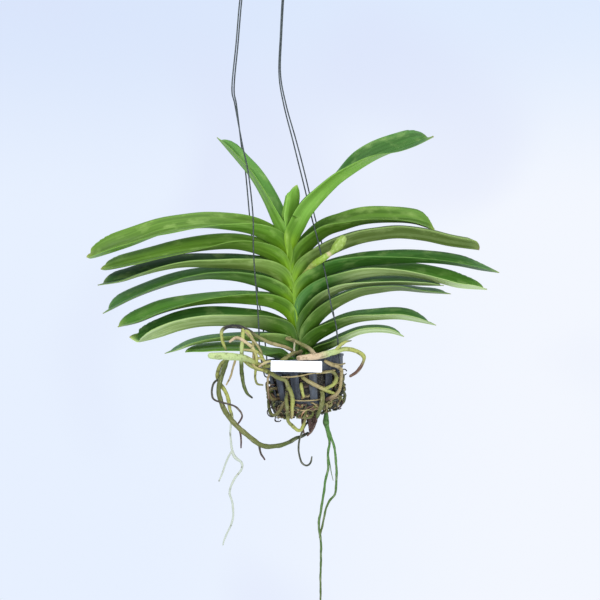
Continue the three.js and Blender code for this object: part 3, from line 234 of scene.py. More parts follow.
TRUNK_ROOT = [
    [-1, -3, 7, 2.3], [-5.5, -20, 6, 2.3], [-12, -36, 5, 2.3], [-18, -46.5, 2, 2.3],
    [-26, -43.5, -4, 2.3], [-34, -39, -7.5, 2.3], [-43, -36, -8.5, 2.3], [-52.5, -34.5, -6, 2.4],
    [-60.5, -35, -1.5, 2.4], [-73, -35, 1.5, 2.4], [-83, -35, 0.5, 2.5], [-87.5, -35, -7, 2.8],
    [-92, -35, -22, 2.7], [-95, -35, -35.5, 2.7], [-92.5, -34, -48, 2.8], [-86, -32, -62.5, 2.9],
    [-75.5, -30, -75.5, 2.9], [-56.5, -26, -92.5, 2.9], [-44, -22, -100, 2.8],
    [-30.5, -18, -100.5, 2.6], [-18.5, -14, -97.5, 2.4], [-8, -11, -92.5, 2.1],
    [-1, -9.5, -90, 1.8], [5.5, -8, -86.5, 1.3],
]
PALE_ROOT = [
    [-83, -35, 0.5, 2.3], [-92.5, -33.5, -7.5, 2.4], [-96.5, -31, -18, 2.3], [-94, -29, -28, 2.2],
    [-88, -30, -37, 2.2], [-84, -31, -47, 2.2], [-82.5, -31, -57.5, 2], [-80, -30, -66, 1.3],
    [-81.5, -29, -76, 1.1], [-82, -28, -90, 1.1], [-80, -27, -104, 1.4], [-77, -27, -112, 1.8],
    [-69.5, -27, -118.5, 1.4], [-70, -27, -126.5, 1.2], [-79, -27, -139, 1.2],
    [-83, -27, -151.5, 1.2], [-80, -27, -163.5, 1.2], [-79.5, -27, -183, 1.1],
    [-87.5, -27, -201, 1], [-90.5, -27, -211, 0.8],
]
THIN_ROOT = [
    [-93.5, -34, -22, 1.2], [-100.5, -36, -28.5, 1.2], [-102.5, -37, -40, 1.2],
    [-98.5, -39, -46.5, 1.1], [-83, -38, -51.5, 1], [-74, -36, -55.5, 1.1], [-68.5, -33, -65, 1.1],
    [-74, -30, -75, 1],
]
FORWARD_ROOT = [
    [-52.5, -34.5, -6, 2.4], [-60.5, -44, -1, 3], [-70, -54, 2, 3.8], [-84.5, -64, 3.5, 4.3],
    [-101, -71.6, 4.5, 3.6],
]
BASKET_ROOT = [
    [-67, -36, -0.5, 2.4], [-60.5, -37, -7, 2.4], [-52, -36, -11, 2.5], [-43.5, -35, -13.5, 2.5],
    [-36, -36.5, -17, 2.5], [-31, -39, -20, 2.4], [-24.5, -42.5, -22.5, 2.3],
    [-19, -43.5, -25, 2.3], [-16.5, -43.5, -31.5, 2.4], [-13.5, -43, -38, 2.4],
    [-12, -41.5, -45, 2.4], [-12, -38.5, -56, 2.2], [-13, -33, -67, 1.7],
]
SIDE_ROOTLETS = [
    [[-66, -34.5, 33, 1.6], [-60, -36, 28, 1.7], [-56, -36.5, 20, 1.6], [-56, -36, 10, 1.5],
     [-55, -34.5, -5, 1.6]],
    [[-55, -34.5, -5, 1.6], [-51, -37, 0, 1.7], [-45, -38, -1, 1.7], [-42, -37, -7, 1.5]],
    [[-52, -34.5, -6, 1.6], [-54, -35, -19, 1.4], [-52, -35, -28, 1.2], [-45.5, -35, -30, 1]],
    [[-66, -34.5, 31, 1.4], [-59, -38, 24, 1.6], [-51, -39, 14, 1.6], [-46.5, -38, 5, 1.5],
     [-43, -36, -8.5, 1.4]],
    [[-82, -37, 19, 1.4], [-76, -38.5, 23, 1.9], [-71, -38, 22.5, 1.8], [-68, -37, 19, 1.5]],
    [[-75, -35, 1.5, 1.3], [-79, -37, -12, 1.2], [-82, -37.5, -21.5, 1.1], [-86, -38, -29.5, 0.8]],
    [[-37, -36.5, -16.5, 1.3], [-39.5, -39, -23, 1.2], [-39.5, -41, -34, 1.2],
     [-38, -41.5, -45, 0.9]],
    [[-72.5, -29, -78.5, 1.1], [-70, -29, -90, 1.1], [-70, -29, -101, 0.8]],
    [[-50, -24, -97, 1.4], [-48, -24, -107, 1.2], [-43.5, -24, -115, 0.9]],
    [[-80, -27, -104, 1.2], [-85, -26, -113, 1.1], [-90.5, -26, -128, 1], [-95, -26, -139, 0.8]],
]
CROWN_ROOT = [
    [-12, -4, 23, 1.8], [-19, -15, 21.5, 1.8], [-9.5, -21, 19, 2.1], [1, -27, 14, 2.3],
    [8.5, -35, 9.5, 2.4], [14, -47, 4, 2.4],
]
LOOPING_ROOT = [
    [-5, -51, 1, 2.6], [5, -51.3, 2, 3.3], [13, -49.6, 2.8, 3.6], [22, -46.4, 4, 3.7],
    [33.5, -37.5, 7, 3.4], [45.5, -31.5, 10, 2.7], [54, -29.5, 9.5, 2.5], [63, -27, 6.5, 2.6],
    [68.5, -26, 1.5, 2.4], [68.5, -26, -3.5, 1.7], [65.5, -26, -9.5, 1.9], [60, -26, -16, 1.9],
    [53.5, -26, -20.5, 1.5],
]
SLOT_ROOT = [
    [-1.5, -37.5, -19, 2], [0.5, -44, -21.5, 2.2], [7.5, -45, -26, 2.3], [16, -42, -31, 2.3],
    [23.5, -37.5, -34.5, 2.3], [34, -26.5, -40, 2],
]
UNDER_LABEL_ROOT = [
    [15, -46.8, -15.5, 1.4], [24.5, -42.6, -15.5, 1.4], [31, -38, -14.5, 1.6],
    [35.5, -34, -17, 2], [37.5, -30, -23, 2.2], [34.5, -30, -29, 2.1], [26, -36.5, -33.8, 1.9],
]
SIDE_ROOT = [
    [24.5, -43.5, -3, 1.6], [31.5, -39, -7, 1.9], [39, -34, -9.5, 2], [43.4, -29.3, -14.5, 2.1],
    [43, -25.5, -23, 2.1], [42, -22, -31, 2.1], [40.5, -22.5, -37, 2.1], [37, -26.5, -41.5, 2.1],
    [33, -31.5, -43.5, 2], [26.5, -36, -46, 1.9],
]
SLOT_TIP_ROOT = [
    [-1.8, -37.5, -28, 1.5], [-2, -42, -29, 1.8], [-1.4, -44.5, -35, 1.9], [0.5, -43.5, -42, 1.4],
]
GREEN_ROOT = [
    [20.5, -36, -37.5, 1.9], [21.8, -39, -40, 2.5], [21, -39.5, -48, 2.6], [19.5, -37, -56, 2.5],
    [16, -29, -66, 2],
]
HOOKED_ROOT = [
    [-17.6, -28.2, -39.5, 1.3], [-18, -36, -41, 1.6], [-18.8, -41, -45, 2], [-18.2, -42, -53, 2],
    [-17.2, -41, -61, 2], [-16.5, -36.5, -70.5, 2], [-12.5, -30, -76, 2], [-6.5, -27, -81.5, 2],
    [-2, -25, -81, 1.9], [0.5, -22, -75.5, 1.8], [3, -18, -67, 1.5],
]
CURLED_ROOT = [
    [6.8, -9.3, -70, 1.2], [5.2, -12.4, -74, 1.2], [2, -14, -78, 1.2], [-2.5, -15, -88, 1.1],
    [-5, -15, -100.5, 1.1], [-4, -15, -113, 1.1], [-1, -15, -120.5, 1.1], [4, -15, -123, 1.1],
    [8.5, -15, -120, 1.1], [10, -15, -113, 0.8],
]
LONG_ROOTS = [
    [[26.5, -12, -58.8, 1.9], [26.3, -12, -65, 2.6], [26, -12, -73.5, 3.4], [28, -12, -82, 2.6],
     [30, -12, -96.5, 1.5], [28.5, -12, -110, 1.4], [28.5, -12, -127, 1.4], [25.5, -12, -141, 1.4],
     [21, -12, -171.5, 1.4], [18, -12, -189, 1.4], [20.5, -12, -215, 1.3], [20, -12, -244.5, 1.2],
     [20, -12, -276.5, 1.1], [21.5, -12, -298.6, 0.8]],
    [[28, -12, -82, 2], [31.5, -13, -89.5, 1.6], [35.5, -14, -102.5, 1.4], [37.5, -14, -118, 1.4],
     [38, -14, -138.5, 1.4], [36.5, -14, -154.5, 1.3], [29.5, -14, -164.5, 1.3],
     [25, -14, -176.5, 1.2], [22, -13, -192, 1.2], [19, -12, -205, 1.1]],
]
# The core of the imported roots, as [radius, z].
PACKED_CORE = [
    [0.5, -57.2], [28.4, -57.2], [31.2, -54.5], [33.4, -48], [35.6, -18], [33, -13], [26, -12],
    [18, -19.2], [0.5, -19.2],
]
# Dead roots woven through the slots: first slot, last slot, their heights, radius and sag.
WOVEN_ROOTS = [
    (-4, -3, -26, -44, 1.8, 0), (-4, -3, -40, -32, 1.6, 0), (-5, -4, -30, -44, 1.8, 0),
    (2, 3, -24, -38, 1.8, 0), (2, 3, -43, -28, 1.8, 0), (-4, -2, -45, -46, 1.9, 17),
    (2, 4, -45, -46, 1.8, 13),
]
# Mats of thin dead roots: middle angle, spread, lowest and highest z, how far each runs, count.
ROOT_MATS = [
    (-86, 16, -62, -34, 14, 54), (-54, 18, -64, -49, 22, 44), (-22, 22, -65, -54, 28, 30),
    (70, 17, -58, -24, 16, 54), (40, 16, -61, -50, 24, 34), (12, 20, -65, -56, 30, 20),
    (-120, 30, -60, -30, 34, 26), (112, 34, -60, -26, 34, 26), (170, 36, -62, -34, 34, 26),
]
# Thin stray roots over the front and the right of the basket.
STRAY_ROOTS = [
    [[-25.8, -41, -20.6, 0.7], [-16, -46, -20.2, 0.8], [-4, -48, -19.2, 0.8], [8, -48, -16.6, 0.7],
     [21, -43.5, -14.6, 0.8], [35.5, -33.5, -13.6, 0.9]],
    [[-12, -38.5, -46, 0.8], [-4, -40.5, -47.4, 0.7], [8, -40.5, -47, 0.7], [20, -35, -46, 0.8]],
    [[-10, -37.5, -53, 0.6], [-5, -38.5, -57.2, 0.7], [2, -38.5, -58.2, 0.7], [10, -37, -55.5, 0.6],
     [16, -34, -51.5, 0.6]],
    [[24.5, -39, -2, 0.9], [34, -35.5, -6, 1.1], [42.5, -27, -7.6, 1], [47.5, -18, -6.5, 0.8]],
]
# Small live roots in the tangle at the left and beside the crown.
SMALL_LEFT_ROOTS = [
    [[-70, -38.5, 22, 1.7], [-63, -40, 17.5, 1.9], [-57, -40.5, 12.5, 2], [-53, -40, 5, 1.8],
     [-52, -37.5, -4, 1.6]],
    [[-68, -38, 10, 1], [-60, -40, 9.4, 1.5], [-52, -41, 7.6, 1.6], [-46, -39.5, 2, 1.3]],
    [[-49, -38.5, -9, 1.3], [-44, -41, -5.5, 1.5], [-37, -42, -3.4, 1.4], [-30, -43, -7, 1.2]],
    [[-58, -38, -4, 1.3], [-54, -40.5, -9, 1.5], [-48, -41, -12, 1.4], [-41, -40, -15, 1.2]],
]
# First and last tone of each of SIDE_ROOTLETS and SMALL_LEFT_ROOTS.
SMALL_LEFT_TONES = [
    ("lime", "tan"), ("tan", "lime"), ("lime", "olive"), ("tan", "olive"), ("cream", "tan"),
    ("tan", "tan"), ("tan", "brown"), ("purple", "purple"), ("dark", "purple"), ("grey", "grey"),
    ("cream", "lime"), ("tan", "lime"), ("cream", "lime"), ("tan", "lime"),
]
SMALL_RIGHT_ROOTS = [
    [[-9.6, -20.5, 19, 1.1], [-10, -26, 12, 1.1], [-9.5, -30, 4.5, 1]],
    [[35, -37, 7.5, 1.5], [40, -37, 13, 2], [45, -37, 17, 1.8], [49, -36.5, 18.8, 1.2],
     [54, -36, 19.8, 0.6]],
]
LONG_ROOT_TENDRIL = [[28.6, -12.5, -110, 0.7], [31, -13.5, -124, 0.5], [34.2, -14, -140, 0.4]]
# Dead roots beside the old stem.
OLD_STEM_STRANDS = [
    [[1, -14, -60, 1.6], [-0.8, -16, -72, 1.4], [1, -15, -86, 0.9]],
    [[15, -15, -58, 1.8], [14.6, -16.5, -70, 1.9], [11, -15, -82, 1.3], [5, -14.5, -89, 0.8]],
    [[6, -17, -60, 1.5], [7.5, -19, -70, 1.7], [7, -17, -80, 1]],
]
# Curled thin roots at the sides of the basket: middle [x, y, z], radius, thickness.
ROOT_CURLS = [
    ([-35.5, -20, -62], 5, 0.7), ([-28, -24, -68.5], 3.6, 0.6), ([-30, -23, -70], 2.2, 0.5),
    ([47, -6, -17], 3.2, 0.7), ([46.5, -4, -33], 2.6, 0.6), ([41, -12, -56], 3, 0.6),
]
# The four wires of the hanger, from the collar to the rim, as [x, y, z].
WIRES = {
    "wire_front_left": [
        [-15, -2, 473.4], [-47, -2.5, 453.5], [-67.5, -3, 433], [-72.5, -3, 410], [-77, -3, 358],
        [-81.5, -3, 309], [-78, -8, 289], [-69.5, -20, 244.5], [-62, -23.5, 208.5],
        [-56.5, -25.5, 159.5], [-56, -27, 120], [-53.5, -28, 83.5], [-51.5, -28, 60],
        [-50, -27, 31.5], [-49, -25.5, 6.5], [-45.5, -24, -10], [-43.3, -23, -20.3],
        [-38.5, -20.4, -22.6],
    ],
    "wire_back_left": [
        [-14, 2, 473.4], [-46, 2.5, 456], [-66, 3, 434.5], [-70.5, 3, 411], [-75, 3, 359.5],
        [-79.5, 3, 310], [-77, 9, 290.5], [-72, 18.5, 248], [-67, 22.5, 214.5], [-62.6, 25.5, 166],
        [-57.8, 28, 119.5], [-53.6, 29, 79.5], [-50, 29, 54], [-46.4, 28, 30.5], [-43, 27, 4.5],
        [-41.8, 26, -12], [-41, 25.6, -19.8], [-36.5, 23, -22.4],
    ],
    "wire_front_right": [
        [-11.5, -2, 473.8], [-16, -2.5, 459.5], [-22, -3, 435], [-24, -3, 410], [-26, -3, 369.5],
        [-27.5, -3, 325], [-22, -2.5, 289], [-11, -1, 245.5], [0, 1, 201.5], [6.5, 1, 175],
        [10.5, -4, 158], [15, -10, 141.5], [18.5, -13.5, 127], [23, -18.5, 106], [27, -23.5, 86],
        [32.5, -28.5, 54.5], [37, -29, 37.5], [39.5, -28, 15], [41, -26.6, -2], [41.6, -25.8, -13],
        [36.8, -23, -15.7],
    ],
    "wire_back_right": [
        [-10.5, 2, 473.8], [-14.5, 2.5, 460.5], [-20, 3, 436.5], [-22.5, 3, 411], [-24.5, 3, 371],
        [-26, 3, 326], [-19.5, 7, 290.5], [-7.5, 16, 249], [4, 21, 205.5], [13.5, 25, 164],
        [22.5, 28, 129], [30.5, 30, 83], [35, 30, 54], [38.5, 28.5, 35], [41.5, 25.5, 13],
        [43.4, 23.6, -4], [43.2, 23.2, -12.5], [39, 21, -15.6],
    ],
}

# ---- Colours, as they look on a screen ----


def srgb(red, green, blue):
    """A screen colour from 0 to 255 as linear light, with alpha."""
    shares = [c / 255 for c in (red, green, blue)]
    linear = [c / 12.92 if c <= 0.04045 else ((c + 0.055) / 1.055) ** 2.4 for c in shares]
    return (*linear, 1.0)


GREENS = {
    "sprout": srgb(86, 128, 14),
    "young": srgb(122, 170, 66),
    "lime": srgb(104, 142, 50),
    "fresh": srgb(90, 140, 56),
    "moss": srgb(90, 128, 40),
    "turf": srgb(68, 116, 46),
    "middle": srgb(84, 120, 54),
    "deep": srgb(50, 88, 38),
    # shade: a darker, warmer green for the leaf feet low in the crown, painted shade there.
    "shade": srgb(66, 102, 26),
    "sage": srgb(120, 140, 80),
    "pale": srgb(154, 180, 104),
    "wash": srgb(184, 202, 140),
    "mint": srgb(200, 218, 156),
}
ROOT_TONES = {
    "olive": srgb(106, 108, 58),
    "dark": srgb(60, 64, 50),
    "moss": srgb(76, 88, 40),
    "lime": srgb(154, 158, 82),
    "tip": srgb(172, 188, 126),
    "shoot": srgb(124, 152, 36),
    "bud": srgb(124, 148, 54),
    "tan": srgb(156, 140, 98),
    "cream": srgb(190, 166, 136),
    "grey": srgb(176, 182, 166),
    "brown": srgb(92, 66, 52),
    "purple": srgb(74, 54, 52),
    "green": srgb(72, 112, 50),
    "black": srgb(42, 40, 38),
    "rust": srgb(142, 94, 58),
}

# ---- Curves ----


def cubic(t, start, end, leaving, arriving):
    """The cubic from start to end with the given slopes, at t from 0 to 1."""
    return (
        (2 * t**3 - 3 * t**2 + 1) * start
        + (t**3 - 2 * t**2 + t) * leaving
        + (3 * t**2 - 2 * t**3) * end
        + (t**3 - t**2) * arriving
    )


def smooth_line(points, steps=24):
    """Points close together on the Catmull-Rom curve through the given ones."""
    p = np.asarray(points, float)
    ends = np.vstack([2 * p[0] - p[1], p, 2 * p[-1] - p[-2]])
    t = np.linspace(0, 1, steps, endpoint=False)[:, None]
    stretches = [
        cubic(t, start, end, (end - before) / 2, (after - start) / 2)
        for before, start, end, after in zip(ends, ends[1:], ends[2:], ends[3:])
    ]
    return np.vstack([*stretches, p[-1:]])


def eased(s, stations, values):
    """Eased values between stations, as the frame's leaves have them."""
    x, y = np.asarray(stations, float), np.asarray(values, float)
    slope = np.zeros_like(y)
    slope[1:-1] = (y[2:] - y[:-2]) / (x[2:] - x[:-2])
    i = np.clip(np.searchsorted(x, s) - 1, 0, len(x) - 2)
    span = x[i + 1] - x[i]
    t = np.clip((s - x[i]) / span, 0, 1)
    return cubic(t, y[i], y[i + 1], span * slope[i], span * slope[i + 1])


def distances(line):
    """How far along the line each of its points lies."""
    gaps = np.linalg.norm(np.diff(line[:, :3], axis=0), axis=1)
    return np.concatenate([[0], np.cumsum(gaps)])


def points_at(line, wanted):
    """The line's columns at the wanted distances along it."""
    along = distances(line)
    return np.column_stack([np.interp(wanted, along, column) for column in line.T])


def units(vectors):
    """The vectors at a length of 1."""
    return vectors / np.linalg.norm(vectors, axis=1)[:, None]


def ramp(value, low, high):
    """0 below low and 1 above high, eased in between."""
    t = np.clip((value - low) / (high - low), 0, 1)
    return t * t * (3 - 2 * t)


def wave(t, seed, size=1.0):
    """A smooth irregular wave of about the given size, the same on every run."""
    draw = random.Random(seed)
    total = np.zeros_like(np.asarray(t, float))
    for octave in (1, 2.1, 4.3):
        total += np.sin(t * octave + draw.uniform(0, 2 * math.pi)) / octave
    return total * size * 0.7


# ---- Meshes ----


class Shape:
    """Points in millimetres, faces and point values that are gathered into one mesh."""

    def __init__(self):
        self.points, self.faces, self.slots = [], [], []
        self.values = {}
        self.count = 0

    def add(self, points, faces, slot=0, **values):
        """Adds a body, its material's slot and named values for each of its points."""
        points = np.asarray(points, float).reshape(-1, 3)
        self.points.append(points)
        self.faces += [[i + self.count for i in face] for face in faces]
        self.slots += [slot] * len(faces)
        for name, value in values.items():
            self.values.setdefault(name, []).append(np.asarray(value, float).reshape(len(points), -1))
        self.count += len(points)

    def build(self, name, materials, centre=RIM_CENTRE, turn=0.0):
        """One object from the gathered points, turned about Y and then moved to its centre."""
        cos, sin = math.cos(turn), math.sin(turn)
        turned = np.vstack(self.points) @ np.array([[cos, 0, -sin], [0, 1, 0], [sin, 0, cos]])
        mesh = bpy.data.meshes.new(name)
        mesh.from_pydata(((turned + centre) * MM).tolist(), [], self.faces)
        for value_name, parts in self.values.items():
            data = np.vstack(parts).astype(np.float32)
            kind, field = ("FLOAT_COLOR", "color") if data.shape[1] == 4 else ("FLOAT_VECTOR", "vector")
            layer = mesh.attributes.new(value_name, kind, "POINT")
            layer.data.foreach_set(field, data.ravel())
        for material in materials:
            mesh.materials.append(material)
        mesh.polygons.foreach_set("material_index", self.slots)
        mesh.polygons.foreach_set("use_smooth", [True] * len(self.faces))
        mesh.update()
        mesh.set_sharp_from_angle(angle=SHARP_FROM)
        return linked(name, mesh)


def linked(name, data):
    """A new object in the scene."""
    added = bpy.data.objects.new(name, data)
    bpy.context.scene.collection.objects.link(added)
    return added


def stand_for(piece, node):
    """Rides on the part and takes the node's place."""
    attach(piece, "root")
    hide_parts(node)


def ring_faces(rings, per_ring, closed=False):
    """Quads between neighbouring rings of points."""
    faces = []
    for i in range(rings if closed else rings - 1):
        a, b = i * per_ring, (i + 1) % rings * per_ring
        for j in range(per_ring):
            k = (j + 1) % per_ring
            faces.append((a + j, a + k, b + k, b + j))
    return faces


def flipped(faces):
    """The same faces, seen from their other side."""
    return [face[::-1] for face in faces]


def capped_faces(rings, per_ring):
    """Faces round a body of rings, with one face over each end."""
    last = (rings - 1) * per_ring
    ends = [tuple(reversed(range(per_ring))), tuple(range(last, last + per_ring))]
    return ring_faces(rings, per_ring) + ends


def tube(line, radii, sides):
    """Points and faces of a round body along a line, with rounded ends."""
    along = units(np.gradient(line, axis=0))
    up = np.array([0.3, 1, 0.2])
    ups = []
    for direction in along:
        up = up - up.dot(direction) * direction
        up = up / np.linalg.norm(up)
        ups.append(up)
    ups = np.array(ups)
    acrosses = np.cross(along, ups)
    centres, widths, frames = list(line), list(radii), list(range(len(line)))
    for degrees in (35, 65, 84):
        reach, narrow = math.sin(math.radians(degrees)), math.cos(math.radians(degrees))
        centres.append(line[-1] + along[-1] * radii[-1] * reach)
        centres.insert(0, line[0] - along[0] * radii[0] * reach)
        widths.append(radii[-1] * narrow)
        widths.insert(0, radii[0] * narrow)
        frames.append(len(line) - 1)
        frames.insert(0, 0)
    angles = np.linspace(0, 2 * math.pi, sides, endpoint=False)
    points = np.array(centres)[:, None, :] + np.array(widths)[:, None, None] * (
        np.cos(angles)[None, :, None] * ups[frames][:, None, :]
        + np.sin(angles)[None, :, None] * acrosses[frames][:, None, :]
    )
    return points.reshape(-1, 3), capped_faces(len(centres), sides), frames


def lathe(profile, steps, is_sheet=False):
    """A closed [radius, z] profile turned about Z, or an open one that faces up as it widens."""
    profile = np.asarray(profile, float)
    radii, heights = profile.T
    angles = np.linspace(0, 2 * math.pi, steps, endpoint=False)
    rings = [np.column_stack([radii * math.sin(a), -radii * math.cos(a), heights]) for a in angles]
    faces = ring_faces(steps, len(profile), closed=True)
    if is_sheet:
        last = len(profile) - 1
        faces = flipped(face for i, face in enumerate(faces) if i % len(profile) != last)
    return np.vstack(rings), faces


def rounded(corners, radius, steps=4):
    """A closed outline with its corners rounded."""
    corners = np.asarray(corners, float)
    outline = []
    for before, corner, after in zip(np.roll(corners, 1, 0), corners, np.roll(corners, -1, 0)):
        to_before, to_after = before - corner, after - corner
        reach = min(radius, np.linalg.norm(to_before) / 2.2, np.linalg.norm(to_after) / 2.2)
        start = corner + to_before / np.linalg.norm(to_before) * reach
        end = corner + to_after / np.linalg.norm(to_after) * reach
        for t in np.linspace(0, 1, steps + 1):
            outline.append((1 - t) ** 2 * start + 2 * t * (1 - t) * corner + t**2 * end)
    return np.array(outline)


# ---- Materials ----


class Graph:
    """The nodes of one material or world, added and linked in single calls."""

    def __init__(self, name=None, tree=None):
        if name:
            self.material = bpy.data.materials.new(name)
            self.material.use_nodes = True
            tree = self.material.node_tree
            self.surface = tree.nodes["Principled BSDF"]
        self.tree = tree

    def put(self, socket, value):
        """Links another node's output to a socket, or sets a plain value on it."""
        if isinstance(value, bpy.types.NodeSocket):
            self.tree.links.new(value, socket)
        else:
            socket.default_value = value

    def fill(self, node, inputs):
        """Puts values on a node's inputs, which are named with _ for a space."""
        for key, value in inputs.items():
            self.put(node.inputs[key.replace("_", " ")], value)

    def node(self, kind, settings=None, **inputs):
        node = self.tree.nodes.new(kind)
        for key, value in (settings or {}).items():
            setattr(node, key, value)
        self.fill(node, inputs)
        return node

    def finish(self, **inputs):
        """Sets the surface and gives its material."""
        self.fill(self.surface, inputs)
        return self.material

    def attribute(self, name, output="Vector"):
        return self.node("ShaderNodeAttribute", {"attribute_name": name}).outputs[output]

    def place(self, output="Object"):
        return self.node("ShaderNodeTexCoord").outputs[output]

    def stretched(self, vector, x, y, z):
        """A vector scaled differently along each axis."""
        return self.node("ShaderNodeMapping", Vector=vector, Scale=(x, y, z)).outputs["Vector"]

    def noise(self, vector, scale, detail=3.0):
        inputs = dict(Vector=vector, Scale=scale, Detail=detail, Roughness=0.55)
        return self.node("ShaderNodeTexNoise", **inputs).outputs["Fac"]

    def fit(self, value, low, high, to_low=0.0, to_high=1.0):
        """Value clamped to low..high and spread over to_low..to_high, eased at both ends."""
        return self.node(
            "ShaderNodeMapRange", {"interpolation_type": "SMOOTHSTEP"}, Value=value,
            From_Min=low, From_Max=high, To_Min=to_low, To_Max=to_high,
        ).outputs["Result"]

    def mix(self, factor, first, second, blend="MIX"):
        """A colour mix, whose sockets are 0 for the factor, 6 and 7 for the colours."""
        node = self.node("ShaderNodeMix", {"data_type": "RGBA", "blend_type": blend})
        for index, value in ((0, factor), (6, first), (7, second)):
            self.put(node.inputs[index], value)
        return node.outputs[2]

    def math(self, operation, first, second=0.0):
        node = self.node("ShaderNodeMath", {"operation": operation})
        self.put(node.inputs[0], first)
        self.put(node.inputs[1], second)
        return node.outputs[0]

    def split(self, vector):
        return self.node("ShaderNodeSeparateXYZ", Vector=vector).outputs

    def bump(self, height, distance, strength=1.0, **under):
        """A bump whose distance is in millimetres, over another one given as Normal."""
        inputs = dict(Height=height, Distance=distance * MM, Strength=strength, **under)
        return self.node("ShaderNodeBump", **inputs).outputs["Normal"]


def leaf_material(name, inner, outer, foot, foot_fade):
    """A strap leaf: greener upper face, greyer lower face, lengthwise veins, and a pale keel line and
    margins that are partly the leaf's own pale edges and partly painted highlight.
    """
    g = Graph(name)
    along, across, face = g.split(g.attribute("leaf_share"))
    place = g.attribute("leaf_place")
    edge = g.math("ABSOLUTE", across)
    veins = g.noise(g.stretched(place, 0.012, 1.1, 1.1), 1.0, 2.0)
    bands = g.noise(g.stretched(place, 0.006, 0.16, 0.16), 1.0, 2.0)
    mottle = g.noise(g.stretched(place, 0.05, 0.08, 0.08), 1.0, 4.0)
    # Pale edge colour: partly the leaf's own pale margin, partly painted highlight on the margins and the
    # keel.
    margin = srgb(150, 184, 90)

    green = g.mix(face, GREENS[outer], GREENS[inner])
    green = g.mix(g.fit(along, foot_fade[1], foot_fade[0]), green, GREENS[foot])
    # A brighter yellow on the upper part of each young sheath: a painted highlight over its own
    # yellow-green.
    if foot == "sprout":
        green = g.mix(g.fit(along, 0.15, 0.09, 0, 0.45), green, srgb(136, 174, 36))
    dark = g.mix(1.0, green, srgb(196, 204, 170), "MULTIPLY")
    light = g.mix(0.22, green, srgb(206, 226, 140))
    green = g.mix(g.fit(bands, 0.62, 0.36), green, dark)
    green = g.mix(g.fit(mottle, 0.5, 0.75, 0, 0.8), green, light)
    green = g.mix(g.fit(veins, 0.42, 0.66, 0.0, 0.35), green, dark)
    # Pale keel line and pale margins: partly the leaf's own pale edges, partly painted highlight.
    keel_pale_and_highlight = g.math("MULTIPLY", g.fit(edge, 0.05, 0.0), g.math("SUBTRACT", 1.0, face))
    green = g.mix(g.math("MULTIPLY", keel_pale_and_highlight, 0.2), green, margin)
    green = g.mix(g.fit(edge, 0.97, 1.0, 0, 0.15), green, margin)
    green = g.mix(g.fit(along, 0.94, 1.0, 0, 0.3), green, srgb(170, 184, 92))
    dry = g.math("MULTIPLY", g.fit(along, 0.985, 1.0), g.fit(mottle, 0.45, 0.6))
    return g.finish(
        Base_Color=g.mix(dry, green, srgb(150, 128, 88)),
        Roughness=g.fit(mottle, 0.3, 0.8, 0.42, 0.58),
        Specular_IOR_Level=0.22,
        Normal=g.bump(g.noise(place, 0.7, 2.0), 0.1, 0.2, Normal=g.bump(veins, 0.2, 0.35)),
    )


def root_material(name, roughness=0.72):
    """Spongy root skin: streaks along the root, pale worn flecks and fine pits."""
    g = Graph(name)
    tint = g.attribute("root_tint", "Color")
    place = g.attribute("root_place")
    streaks = g.noise(g.stretched(place, 0.12, 1.2, 1.2), 1.0, 4.0)
    flecks = g.noise(place, 1.5)
    pale = g.mix(0.4, tint, srgb(206, 200, 170))
    dark = g.mix(1.0, tint, srgb(146, 140, 122), "MULTIPLY")
    colour = g.mix(g.fit(g.noise(place, 0.16), 0.46, 0.3, 0, 0.8), tint, dark)
    colour = g.mix(g.fit(streaks, 0.52, 0.72, 0, 0.8), colour, pale)
    return g.finish(
        Base_Color=g.mix(g.fit(flecks, 0.6, 0.75, 0, 0.4), colour, dark),
        Roughness=roughness,
        Specular_IOR_Level=0.3,
        Normal=g.bump(streaks, 0.5, 0.6, Normal=g.bump(flecks, 0.3, 0.6)),
    )


def spike_material(name):
    """Young flower spike: yellow-green, with paler ribs and mottling."""
    g = Graph(name)
    place = g.attribute("root_place")
    ribs = g.noise(g.stretched(place, 0.05, 0.9, 0.9), 1.0, 2.0)
    tint = g.attribute("root_tint", "Color")
    colour = g.mix(g.fit(ribs, 0.4, 0.75, 0, 0.4), tint, srgb(150, 186, 78))
    colour = g.mix(g.fit(g.noise(place, 0.35), 0.5, 0.75, 0, 0.3), colour, srgb(214, 226, 160))
    return g.finish(Base_Color=colour, Roughness=0.5, Normal=g.bump(ribs, 0.4, 0.5))


def worn_material(name, grain, stain, colours, dulling, dents, **more):
    """A hard surface that a fine grain stains, dulls and dents, with a painted sheen in lengthwise streaks
    of its second colour if it has three colours.
    """
    g = Graph(name)
    grains = g.noise(g.place(), *grain)
    base_and_sheen = colours[0]
    # With three colours, the lengthwise streaks of the second one are a painted sheen.
    if len(colours) == 3:
        streaks = g.noise(g.stretched(g.place(), 260.0, 260.0, 24.0), 1.0)
        base_and_sheen = g.mix(g.fit(streaks, 0.4, 0.7), base_and_sheen, colours[1])
    return g.finish(
        Base_Color=g.mix(g.fit(grains, *stain), base_and_sheen, colours[-1]),
        Roughness=g.fit(grains, *dulling),
        Normal=g.bump(grains, *dents),
        **more,
    )


# ---- Leaves ----


def half_width(leaf, s, end, tip, is_drawn_out, length, seed):
    """The width of one half of a leaf, drawn out or rounded and a little bitten at its end."""
    body = leaf["half"] * eased(s, *WIDTH_SHARES)
    q = np.clip((s - (end - tip / length)) / (tip / length), 0, 1)
    share = 1 - 0.97 * q**1.9 if is_drawn_out else np.sqrt(1 - q**2)
    bitten = 1 + wave(s * length * 0.9, seed, 0.02) * q * (1 - q) * 4
    return np.maximum(body * share * bitten, NARROWEST_HALF)


